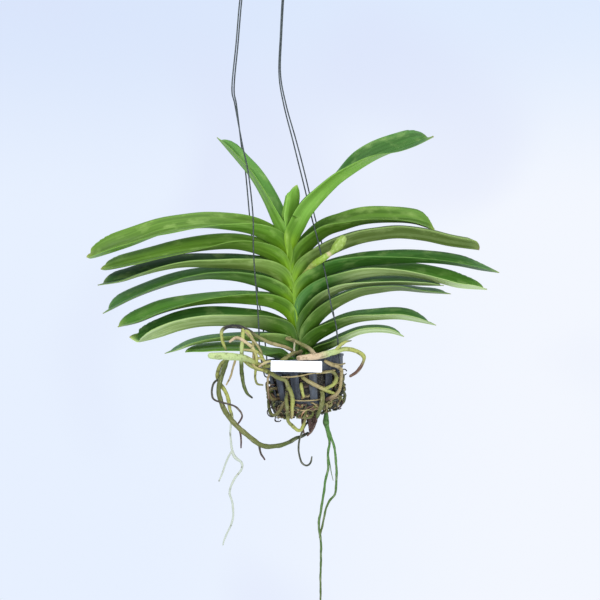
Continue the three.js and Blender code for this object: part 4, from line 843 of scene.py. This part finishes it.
def face_curve(start, bow, width, is_rounded):
    """How far each point across a half lies to the side and up from the keel, and its slope."""
    slope = start[:, None] + bow[:, None] * ACROSS[None, :]
    if is_rounded:
        slope = slope * np.clip(ACROSS / KEEL_ROUNDING, 0, 1)[None, :]
    steps = np.diff(ACROSS)[None, :]
    middle = (slope[:, 1:] + slope[:, :-1]) / 2
    zero = np.zeros((len(start), 1))
    side = np.hstack([zero, np.cumsum(np.cos(middle) * steps, axis=1)])
    up = np.hstack([zero, np.cumsum(np.sin(middle) * steps, axis=1)])
    return width[:, None] * side, width[:, None] * up, slope


def half_faces(leaf, half, turn, shares, length, seed):
    """A half's outer and inner face as (side, up), and how deep the groove at its keel is."""
    index = ("near", "far").index(half)
    ripple = wave(shares * length / RIPPLE_LENGTH, seed + turn, RIPPLE) * np.clip(shares * 4, 0, 1)
    clasp = ramp(shares * length, 0, leaf["opens"])
    rise = np.radians(eased(shares, leaf["stations"], leaf[half]) + ripple)
    rise -= FOOT_CLOSING * (1 - clasp)
    bow = np.radians(eased(shares, *BOW))
    start = rise - bow / 2
    is_drawn_out = leaf["drawn_out"] == half
    end, tip = leaf["ends"][index], leaf["tips"][index]
    width = half_width(leaf, shares, end, tip, is_drawn_out, length, seed + turn)
    width *= FOOT_SHARE + (1 - FOOT_SHARE) * clasp
    bulk = (BLADE_KEEL - BLADE_EDGE) * np.clip(width / THICK_FROM, 0, 1)
    outer = face_curve(start, bow, width, True)[:2]
    thickness = BLADE_EDGE + bulk[:, None] * (1 - ACROSS**1.6)
    side, up, slope = face_curve(start, bow, width, False)
    side = np.maximum(side - np.sin(slope) * thickness, 0.02 * ACROSS)
    inner = side, up + np.cos(slope) * thickness
    return outer, inner, (BLADE_EDGE + bulk) / np.maximum(np.cos(start), 0.4)


def leaf_rings(leaf, shares, length, line, seed):
    """Closed rings of points across a leaf, with their share and place on it."""
    nudge = 0.5
    reach = shares * length
    keel = points_at(line, reach)
    keel[:, 1] += leaf["lean"][2] * ramp(reach, *leaf["lean"][:2])
    ahead, behind = np.minimum(reach + nudge, length), np.maximum(reach - nudge, 0)
    along = units(points_at(line, ahead) - points_at(line, behind))
    forwards = np.array([0.0, -1.0, 0.0])
    inwards = np.cross(forwards, along) * leaf["side"]

    def place(turn, side, up):
        sideways = turn * side[:, :, None] * forwards[None, None, :]
        return keel[:, None, :] + sideways + up[:, :, None] * inwards[:, None, :]

    turns = {"near": 1, "far": -1}
    halves = [(turn, *half_faces(leaf, half, turn, shares, length, seed)) for half, turn in turns.items()]
    groove = np.maximum(halves[0][3], halves[1][3])
    outers, inners, margins = [], [], []
    for turn, outer, (side, up), _ in halves:
        outer = place(turn, *outer)
        open_depth = np.maximum(groove[:, None] - up, 0)
        lift = np.where(side < 0.05, open_depth, open_depth * np.exp(-side / GROOVE_WIDTH))
        inner = place(turn, side, up + lift)
        outwards = outer[:, -1] - outer[:, -2]
        outwards /= np.linalg.norm(outwards, axis=1)[:, None] + 1e-9
        outers.append(outer)
        inners.append(inner)
        margins.append(((outer[:, -1] + inner[:, -1]) / 2 + outwards * MARGIN_BULGE)[:, None, :])
    rings = np.concatenate([
        outers[0][:, ::-1], outers[1][:, 1:], margins[1], inners[1][:, ::-1], inners[0][:, 1:],
        margins[0],
    ], axis=1)
    signed = np.concatenate([ACROSS[::-1], -ACROSS[1:]])
    u = np.concatenate([signed, [-1], signed[::-1], [1]])
    face = np.concatenate([np.zeros(len(signed)), [0.5], np.ones(len(signed)), [0.5]])
    share = np.stack([*np.broadcast_arrays(shares[:, None], u, face)], axis=2)
    where = share * np.array([length, leaf["half"], 40.0]) + np.array([seed * 400.0, 0, 0])
    return rings, share, where


def cap_faces(per_ring, first):
    """The closed end of a leaf: quads between its outer and inner faces."""
    outer_count = 2 * ACROSS_STEPS + 1
    last_inner = first + per_ring - 2
    faces = [
        (first + j, last_inner - j, last_inner - j - 1, first + j + 1) for j in range(outer_count - 1)
    ]
    faces.append((first, first + per_ring - 1, last_inner))
    faces.append((first + outer_count - 1, first + outer_count + 1, first + outer_count))
    return faces


def add_leaf(shape, leaf, begin, end, seed, slot):
    """Adds the stretch of a leaf between two distances along it, or up to its tip without an end."""
    line = smooth_line([(x, 0, z) for x, z in leaf["keel"]])
    length = distances(line)[-1]
    start = begin / length
    if end:
        shares = np.linspace(start, end / length, SHEATH_RINGS)
    else:
        tip = max(1 - TIP_STRETCH / length, (1 + start) / 2)
        body = np.linspace(start, tip, BODY_RINGS, endpoint=False)
        short_end = min(leaf["ends"]) - np.array([1, 0.5, 0.2]) / length
        shares = np.unique(np.concatenate([body, np.linspace(tip, 1, TIP_RINGS), short_end]))
    rings, share, where = leaf_rings(leaf, shares, length, line, seed)
    per_ring = rings.shape[1]
    faces = ring_faces(len(shares), per_ring)
    faces += flipped(cap_faces(per_ring, 0)) + cap_faces(per_ring, (len(shares) - 1) * per_ring)
    if leaf["side"] < 0:
        faces = flipped(faces)
    shape.add(rings, faces, slot, leaf_share=share.reshape(-1, 3), leaf_place=where.reshape(-1, 3))


def make_leaves():
    """Every blade as its own piece, and every sheath in the stem's piece."""
    looks = [(*leaf["greens"], leaf["foot_fade"]) for leaf in LEAVES]
    materials = {}
    for look in looks:
        if look not in materials:
            materials[look] = leaf_material("leaf_" + "_".join(look[:3]), *look)
    slots = list(materials)
    stem = Shape()
    for seed, (leaf, look) in enumerate(zip(LEAVES, looks)):
        blade = Shape()
        add_leaf(blade, leaf, leaf["sheath"], None, seed, 0)
        piece = blade.build("fine_" + leaf["name"], [materials[look]])
        stand_for(piece, leaf["name"])
        add_leaf(stem, leaf, 0, leaf["sheath"], seed, slots.index(look))
    line = smooth_line(STEM_CORE)
    points, faces, _ = tube(line[:, :3], line[:, 3], 24)
    share = np.tile([0.02, 0.5, 0.0], (len(points), 1))
    stem.add(points, faces, 0, leaf_share=share, leaf_place=points)
    piece = stem.build("fine_sheaths", list(materials.values()))
    stand_for(piece, "stem")


# ---- Roots ----


def tones_along(tones, shares):
    """Colours at shares of a length, between named tones at given shares."""
    colours = np.array([ROOT_TONES[name] for name in tones.values()])
    return np.column_stack([np.interp(shares, list(tones), channel) for channel in colours.T])


def fade(pair):
    """Tones that change from the first to the second of a pair along a root."""
    return dict(zip((0, 1), pair))


def add_root(shape, route, tones, seed, sides=14, spacing=0.9, lumps=0.07):
    """Adds one root along a route, lumpy and slightly bent, in the named tones."""
    line = smooth_line(route)
    length = distances(line)[-1]
    wanted = np.linspace(0, length, max(int(length / spacing), 8))
    found = points_at(line, wanted)
    centres = found[:, :3].copy()
    loose = np.clip(np.minimum(wanted, length - wanted) / 6, 0, 1) * ROOT_BEND
    for axis in range(3):
        centres[:, axis] += wave(wanted / ROOT_BEND_LENGTH, seed * 7 + axis) * loose
    radii = found[:, 3] * (1 + wave(wanted / ROOT_LUMP_LENGTH, seed + 50, lumps))
    points, faces, frames = tube(centres, radii, sides)
    tint = tones_along(tones, wanted / length)[frames]
    around = np.linspace(0, 2 * math.pi, sides, endpoint=False)
    widths = radii[frames][:, None]
    start = (wanted[frames] + seed * 91)[:, None]
    place = np.stack(
        np.broadcast_arrays(start, widths * np.cos(around), widths * np.sin(around)), axis=2
    )
    shape.add(points, faces, root_tint=np.repeat(tint, sides, axis=0), root_place=place.reshape(-1, 3))


def root(route, tones, **options):
    """What add_root needs for one root of a piece."""
    return route, tones, options


def make_roots():
    """The live roots, one piece for each node of them."""
    left = [
        root(ARCHED_ROOT, {0: "tan", 0.3: "tan", 0.5: "olive", 0.6: "black", 0.8: "black",
                           0.86: "lime", 0.96: "lime", 1: "olive"}),
        root(TRUNK_ROOT, {0: "tan", 0.2: "olive", 0.34: "lime", 0.42: "moss", 0.7: "olive",
                          0.9: "moss", 1: "dark"}),
        root(DROPPED_ROOT, {0: "lime", 0.4: "tip", 0.5: "moss", 0.9: "moss", 1: "black"}),
        root(PALE_ROOT, {0: "olive", 0.2: "lime", 0.3: "lime", 0.36: "grey", 1: "grey"}),
        root(THIN_ROOT, {0: "dark", 1: "purple"}),
        root(FORWARD_ROOT, {0: "lime", 0.5: "tip", 1: "tip"}, lumps=0.03),
        root(BASKET_ROOT, {0: "lime", 0.35: "olive", 0.6: "olive", 0.85: "lime", 1: "tan"}),
    ]
    for route, tones in zip(SIDE_ROOTLETS + SMALL_LEFT_ROOTS, SMALL_LEFT_TONES):
        left.append(root(route, fade(tones), sides=10))
    pieces = {
        "roots_left": left,
        "root_right_loop": [
            root(CROWN_ROOT, {0: "tan", 0.6: "olive", 1: "cream"}),
            root(LOOPING_ROOT, {0: "cream", 0.2: "cream", 0.32: "tip", 0.6: "lime", 0.75: "lime",
                                0.84: "brown", 1: "brown"}, lumps=0.05),
            root(SMALL_RIGHT_ROOTS[0], {0: "tan", 1: "grey"}, sides=10),
            root(SMALL_RIGHT_ROOTS[1], {0: "lime", 0.7: "lime", 1: "dark"}, sides=10),
        ],
        "roots_front": [
            root(SLOT_ROOT, {0: "olive", 0.5: "tan", 0.8: "lime", 1: "lime"}),
            root(UNDER_LABEL_ROOT, {0: "tan", 0.5: "olive", 0.8: "lime", 1: "lime"}),
            root(SIDE_ROOT, {0: "tan", 0.8: "tan", 1: "brown"}),
        ],
        "root_slot_tip": [root(SLOT_TIP_ROOT, {0: "olive", 0.5: "lime", 1: "lime"})],
        "root_green": [root(GREEN_ROOT, {0: "olive", 0.5: "olive", 1: "moss"})],
        "root_hooked": [
            root(HOOKED_ROOT, {0: "olive", 0.4: "olive", 0.7: "lime", 0.85: "lime", 1: "tan"}),
        ],
        "root_curled": [root(CURLED_ROOT, {0: "dark", 1: "dark"})],
        "roots_long": [
            root(route, {0: "green", 0.3: "green", 1: "moss"}, lumps=0.1)
            for route in [*LONG_ROOTS, LONG_ROOT_TENDRIL]
        ],
    }
    material = root_material("root_skin")
    for node, roots in pieces.items():
        shape, name = Shape(), "fine_" + node
        for index, (route, tones, options) in enumerate(roots):
            add_root(shape, route, tones, index + len(name), **options)
        stand_for(shape.build(name, [material]), node)


def make_old_stem(material):
    """The dead end of the stem, with strands of dead root beside it."""
    shape = Shape()
    add_root(shape, OLD_STEM, fade(("brown", "purple")), 3, sides=32, spacing=0.8, lumps=0.14)
    for seed, strand in enumerate(OLD_STEM_STRANDS, 31):
        route = [before_tilt(point) for point in strand]
        add_root(shape, route, {0: "brown", 0.6: "purple", 1: "brown"}, seed, lumps=0.16)
    piece = shape.build("fine_old_stem", [material], turn=BASKET_TILT)
    stand_for(piece, "old_stem")


def around_basket(angle, reach, z, radius):
    """A route point at an angle from the front, in degrees towards +X."""
    turn = math.radians(angle)
    return [reach * math.sin(turn), -reach * math.cos(turn), z, radius]


def woven_root(first_slot, last_slot, start_z, stop_z, radius, sag):
    """A dead root that leaves the basket by one slot, hangs past slats and goes back by another."""
    outside = SLAT_RADIUS_TOP + radius + WOVEN_GAP
    first, last = (FIRST_SLAT_ANGLE + SLAT_STEP * (slot + 0.5) for slot in (first_slot, last_slot))
    route = [around_basket(first, WOVEN_DEPTH, start_z, radius),
             around_basket(first, outside - 1.5, start_z, radius)]
    for share in (1 / 3, 2 / 3):
        z = start_z + (stop_z - start_z) * share - sag * math.sin(math.pi * share)
        route.append(around_basket(first + (last - first) * share, outside, z, radius))
    route.append(around_basket(last, outside - 1.5, stop_z, radius))
    route.append(around_basket(last, WOVEN_DEPTH, stop_z, radius))
    return route


def surface_reach(z):
    """How far out the basket's wall stands at a height."""
    return np.interp(z, [-62, -56, SLAT_FOOT, -16], [30, 35, SLAT_RADIUS_BOTTOM, SLAT_RADIUS_TOP])


def before_tilt(point):
    """A point [x, y, z, radius] as it stands before the basket is tilted."""
    x, y, z, radius = point
    cos, sin = math.cos(BASKET_TILT), math.sin(BASKET_TILT)
    return [x * cos - z * sin, y, x * sin + z * cos, radius]


def curl(middle, radius, thickness):
    """A route round most of an upright circle."""
    x, y, z = middle
    return [
        [x + radius * math.cos(turn), y + radius * 0.25 * math.sin(turn), z + radius * math.sin(turn),
         thickness]
        for turn in np.linspace(0.4, 5.6, 9)
    ]


def add_wound_root(shape, draw, index):
    """One dead root that winds round the core inside the slats."""
    angle, z = draw.uniform(0, 360), draw.uniform(-55, -16)
    radius = draw.uniform(0.9, 1.7)
    turn, drop = draw.uniform(25, 70) * draw.choice((-1, 1)), draw.uniform(-14, 14)
    route = []
    for t in np.arange(6) / 5:
        height = min(max(z + drop * t + draw.uniform(-2, 2), -55), -14)
        reach = np.interp(height, [-55, -48, -16, -12], [31, 33.5, 35.5, 33]) + 0.4
        reach += math.sin(t * math.pi) * draw.uniform(0, 1.2) - (1.5 if t in (0, 1) else 0)
        route.append(around_basket(angle + turn * t, reach, height, radius))
    pair = draw.choice([("black", "brown"), ("purple", "dark"), ("brown", "tan"), ("dark", "olive")])
    add_root(shape, route, fade(pair), index, sides=8, spacing=1.6)


def add_mat_root(shape, draw, index, middle, spread, low, high, run):
    """One thin dead root that wanders over the outside of the basket, in a mat round an angle."""
    radius = draw.uniform(0.5, 1.3)
    angle, z = middle + draw.uniform(-spread, spread), draw.uniform(low, high)
    turn, drop = draw.uniform(-run, run), draw.uniform(-18, 18)
    lift = draw.uniform(0.8, 6.5)
    route = []
    for t in np.arange(7) / 6:
        height = min(max(z + drop * t + draw.uniform(-1.5, 1.5), low - 2), high + 2)
        reach = surface_reach(height) + radius - 1 + lift * math.sin(math.pi * t)
        stray = draw.uniform(-1.8, 1.8)
        route.append(around_basket(angle + turn * t + stray, reach, height, radius))
    pair = draw.choice([
        ("olive", "dark"), ("moss", "olive"), ("brown", "tan"), ("dark", "black"),
        ("purple", "brown"), ("black", "dark"), ("olive", "tan"),
    ])
    add_root(shape, route, fade(pair), index + 200, sides=7, spacing=1.2)


def add_scrap(shape, draw, index):
    """One short scrap of dry root skin that stands off the basket's lower front."""
    angle, z = draw.uniform(-46, 0), draw.uniform(-61, -50)
    reach = surface_reach(z) + draw.uniform(0.5, 2.5)
    turn, drop = draw.uniform(-12, 12), draw.uniform(-8, 0)
    route = [
        around_basket(angle, reach, z, 0.5),
        around_basket(angle + turn / 2, reach + 1.6, z + drop / 2 + draw.uniform(-1, 1), 1.1),
        around_basket(angle + turn, reach + draw.uniform(0, 1.5), z + drop, 0.4),
    ]
    pair = draw.choice([("rust", "cream"), ("rust", "brown"), ("cream", "rust")])
    add_root(shape, route, fade(pair), index + 700, sides=7, spacing=0.8)


def make_packed_roots(material):
    """Dead roots wound round each other inside the basket and matted round its lower part."""
    shape = Shape()
    draw = random.Random(11)
    points, faces = lathe(PACKED_CORE, 48)
    tint = np.tile(ROOT_TONES["black"], (len(points), 1))
    shape.add(points, faces, root_tint=tint, root_place=points)
    for index in range(WOUND_ROOT_COUNT):
        add_wound_root(shape, draw, index)
    for index, woven in enumerate(WOVEN_ROOTS):
        add_root(shape, woven_root(*woven), {0: "dark", 0.5: "olive", 1: "brown"}, index)
    for *mat, count in ROOT_MATS:
        for index in range(count):
            add_mat_root(shape, draw, index, *mat)
    for index in range(SCRAP_COUNT):
        add_scrap(shape, draw, index)
    strays = [(route, "tan") for route in STRAY_ROOTS]
    curls = [(curl(*values), "black") for values in ROOT_CURLS]
    for index, (route, tone) in enumerate(strays + curls, 400):
        route = [before_tilt(point) for point in route]
        add_root(shape, route, fade((tone, tone)), index, sides=8, spacing=0.8)
    piece = shape.build("fine_packed_roots", [material], turn=BASKET_TILT)
    stand_for(piece, "packed_roots")


def make_flower_spike():
    """The closed spike and its swollen tip."""
    tones = {0: "lime", 0.4: "lime", 0.52: "shoot", 0.68: "shoot", 0.72: "cream", 0.77: "bud", 1: "bud"}
    shape = Shape()
    add_root(shape, FLOWER_SPIKE, tones, 5, sides=24, lumps=0.03)
    piece = shape.build("fine_flower_spike", [spike_material("spike_skin")])
    stand_for(piece, "flower_spike")


# ---- Basket ----


def make_basket():
    """Rim, pierced floor and slats, moulded in one."""
    rim = [[RIM_RADIUS + out, z] for out, z in RIM_OUTLINE]
    floor = [[FLOOR_HOLE_RADIUS, FLOOR_THICKNESS - FLOOR_DEPTH], [FLOOR_HOLE_RADIUS, -FLOOR_DEPTH]]
    floor += [[SLAT_RADIUS_BOTTOM + out, up - FLOOR_DEPTH] for out, up in FLOOR_OUTLINE]
    shape = Shape()
    shape.add(*lathe(rounded(rim, BASKET_EDGE), 120))
    shape.add(*lathe(rounded(floor, FLOOR_EDGE), 120))
    for k in range(SLAT_COUNT):
        shape.add(*slat(math.radians(FIRST_SLAT_ANGLE + SLAT_STEP * k)))
    material = worn_material(
        "basket_plastic", grain=(90.0, 5.0), stain=(0.55, 0.75, 0, 0.45),
        # Colours: dark plastic, a painted blue-grey sheen in vertical streaks, and greyish dust in the
        # grain.
        colours=[srgb(40, 44, 52), srgb(66, 74, 86), srgb(112, 116, 112)],
        dulling=(0.35, 0.7, 0.42, 0.75), dents=(0.2, 0.5),
    )
    piece = shape.build("fine_basket", [material], turn=BASKET_TILT)
    stand_for(piece, "basket")


def slat(angle):
    """One upright slat with rounded edges."""
    heights = [SLAT_TOP, SLAT_TOP - 1, SLAT_SHOULDER, -26, -34, -42, SLAT_FOOT]
    radii = np.interp(heights, [SLAT_FOOT, SLAT_SHOULDER, SLAT_TOP],
                      [SLAT_RADIUS_BOTTOM, SLAT_RADIUS_TOP, SLAT_RADIUS_TOP + SLAT_FLARE])
    widths = np.interp(heights, [SLAT_FOOT, SLAT_SHOULDER], [SLAT_WIDTH_BOTTOM, SLAT_WIDTH_TOP])
    rings = []
    for z, radius, width in zip(heights, radii, widths):
        left, right, back = -width / 2, width / 2, -radius + SLAT_THICKNESS
        corners = [[left, -radius], [right, -radius], [right, back], [left, back]]
        outline = rounded(corners, BASKET_EDGE)
        rings.append(np.column_stack([outline, np.full(len(outline), z)]))
    cos, sin = math.cos(angle), math.sin(angle)
    points = np.vstack(rings) @ np.array([[cos, sin, 0], [-sin, cos, 0], [0, 0, 1]])
    return points, flipped(capped_faces(len(rings), len(rings[0])))


# ---- Hanger and tag ----


def make_wires(material):
    """The four wires, each slightly wavy."""
    for index, (name, route) in enumerate(WIRES.items()):
        line = smooth_line(route)
        wanted = np.arange(0, distances(line)[-1], WIRE_STEP)
        centres = points_at(line, wanted)
        centres[:, 0] += wave(wanted / 30, index, 0.12)
        shape = Shape()
        shape.add(*tube(centres, np.full(len(centres), WIRE_RADIUS), 12)[:2])
        stand_for(shape.build("fine_" + name, [material]), name)


def make_hook(material):
    """The hook's bent wire, with the binding wire wound round its foot."""
    bend = HOOK_BEND_RADIUS + HOOK_WIRE_RADIUS
    centre = -HOOK_BEND_RADIUS - HOOK_DROP
    collar_top = COLLAR_BOTTOM + COLLAR_LENGTH + RIM_CENTRE[2]
    route = [[bend * HOOK_TIP[0], 0, centre + HOOK_TIP[1]]]
    for angle in np.linspace(*HOOK_ARC, 9):
        route.append([bend * math.cos(angle), 0, centre + bend * math.sin(angle)])
    route += [[x, 0, centre + z] for x, z in HOOK_SHANK]
    route.append([0, 0, collar_top - 3])
    line = smooth_line(route)
    centres = points_at(line, np.arange(0, distances(line)[-1], WIRE_STEP / 2))
    shape = Shape()
    shape.add(*tube(centres, np.full(len(centres), HOOK_WIRE_RADIUS), 20)[:2])
    t = np.linspace(0, 1, 360)
    rise = COLLAR_LENGTH - 2 * WIRE_RADIUS
    turns = rise / (2 * WIRE_RADIUS)
    filling = COLLAR_RADIUS - WIRE_RADIUS
    winding = np.column_stack([
        filling * np.cos(2 * math.pi * turns * t),
        filling * np.sin(2 * math.pi * turns * t),
        collar_top - COLLAR_LENGTH + WIRE_RADIUS + t * rise,
    ])
    shape.add(*tube(winding, np.full(len(t), WIRE_RADIUS), 10)[:2])
    core = [[0.01, -COLLAR_LENGTH], [filling, -COLLAR_LENGTH], [filling, 0], [0.01, 0]]
    points, faces = lathe(core, 32)
    shape.add(points + [0, 0, collar_top], faces)
    stand_for(shape.build("fine_hook", [material], centre=np.zeros(3)), "hanger_hook")


def make_label():
    """A blank tag with rounded corners and edges."""
    width, thickness, height = LABEL_SIZE
    half, rise = width / 2, height / 2
    outline = rounded([[-half, -rise], [half, -rise], [half, rise], [-half, rise]], LABEL_CORNER)
    rings = []
    for depth in (0, LABEL_EDGE, thickness - LABEL_EDGE, thickness):
        inset = LABEL_EDGE if depth in (0, thickness) else 0
        shrunk = outline * (1 - inset / np.array([half, rise]))
        rings.append(np.column_stack([shrunk[:, 0], np.full(len(shrunk), -depth), shrunk[:, 1]]))
    shape = Shape()
    shape.add(np.vstack(rings), capped_faces(len(rings), len(outline)))
    material = worn_material(
        "tag_plastic", grain=(120.0, 4.0), stain=(0.55, 0.85, 0, 0.5),
        colours=[srgb(244, 246, 250), srgb(214, 212, 204)],
        dulling=(0.3, 0.8, 0.3, 0.5), dents=(0.05, 0.3),
    )
    place = RIM_CENTRE + np.array(LABEL_PLACE)
    piece = shape.build("fine_plant_label", [material], centre=place, turn=math.radians(1))
    stand_for(piece, "plant_label")


# ---- Stage ----


def make_camera():
    """Level with the leaves and 1.5 m in front of the fan."""
    view = bpy.data.cameras.new("photo_camera")
    view.sensor_width = SENSOR_WIDTH
    view.lens = SENSOR_WIDTH / VIEW_SHARE
    camera = linked("photo_camera", view)
    camera.location = (9 * MM, -1.5, -460 * MM)
    camera.rotation_euler = (math.radians(90), 0, 0)
    bpy.context.scene.camera = camera


def make_world():
    """Pale bluish walls all round, a little whiter to the right and below."""
    world = bpy.data.worlds.new("soft_room")
    bpy.context.scene.world = world
    world.use_nodes = True
    g = Graph(tree=world.node_tree)
    direction = g.place("Generated")
    side, _, up = g.split(direction)
    left = g.mix(g.fit(up, 0.06, 0.22), srgb(231, 240, 255), srgb(218, 230, 252))
    right = g.mix(g.fit(up, 0.06, 0.23), srgb(243, 247, 255), srgb(223, 235, 254))
    wall = g.mix(g.fit(side, -0.16, 0.2), left, right)
    shade = g.fit(g.noise(direction, 5.0, 1.0), 0.5, 0.68, 0, 0.4)
    wall = g.mix(shade, wall, srgb(219, 225, 249))
    g.put(world.node_tree.nodes["Background"].inputs["Color"], wall)


def area_light(name, location, target, size, power, colour):
    """A soft lamp at a location, aimed at a target, both in metres."""
    light = bpy.data.lights.new(name, "AREA")
    light.size, light.energy, light.color = size, power, colour
    lamp = linked(name, light)
    lamp.location = location
    aim = Vector(target) - Vector(location)
    lamp.rotation_euler = aim.to_track_quat("-Z", "Y").to_euler()


def make_floor():
    """A pale round floor below the longest root, whose rim fades into the surroundings."""
    floor = Shape()
    radii = np.linspace(0.02, STAGE_RADIUS, 12) / MM
    floor.add(*lathe([[radius, 0] for radius in radii], 96, is_sheet=True))
    g = Graph("pale_floor")
    where = g.place()
    x, y, _ = g.split(where)
    flat = g.node("ShaderNodeCombineXYZ", X=x, Y=y).outputs[0]
    reach = g.node("ShaderNodeVectorMath", {"operation": "LENGTH"}, Vector=flat).outputs["Value"]
    material = g.finish(
        Base_Color=g.mix(g.noise(where, 30.0, 4.0), srgb(226, 231, 242), srgb(234, 238, 247)),
        Roughness=0.8,
        Alpha=g.fit(reach, STAGE_RADIUS, STAGE_RADIUS * 0.45),
    )
    floor.build("pale_floor", [material], centre=np.array([0, 0, STAGE_HEIGHT / MM]))


def make_stage():
    make_world()
    area_light("key", (-0.9, -1.8, 0.5), (0, 0, -0.42), 1.0, 26, (1.0, 0.98, 0.94))
    area_light("overhead", (0.2, 0.0, 1.1), (0, 0, -0.4), 1.2, 8, (1.0, 0.99, 0.96))
    area_light("low_fill", (0.9, -1.9, -1.0), (0.05, 0, -0.45), 1.5, 22, (0.98, 1.0, 0.96))
    make_floor()


# ---- The whole ----

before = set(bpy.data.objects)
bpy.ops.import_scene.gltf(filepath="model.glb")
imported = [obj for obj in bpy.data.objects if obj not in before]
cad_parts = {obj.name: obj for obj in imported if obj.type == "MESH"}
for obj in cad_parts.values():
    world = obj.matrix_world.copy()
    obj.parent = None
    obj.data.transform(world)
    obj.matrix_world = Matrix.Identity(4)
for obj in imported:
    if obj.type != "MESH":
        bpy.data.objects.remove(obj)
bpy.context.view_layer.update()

make_camera()
make_leaves()
make_roots()
dead_skin = root_material("dead_root_skin", 0.9)
make_old_stem(dead_skin)
make_packed_roots(dead_skin)
make_flower_spike()
make_basket()
wire = worn_material(
    "galvanised_wire", grain=(420.0, 3.0), stain=(0.35, 0.7), colours=[srgb(44, 50, 50), srgb(84, 92, 90)],
    dulling=(0.3, 0.75, 0.35, 0.6), dents=(0.08, 0.4), Metallic=0.6,
)
make_wires(wire)
make_hook(wire)
make_label()
make_stage()
bpy.context.scene.view_settings.view_transform = "Standard"
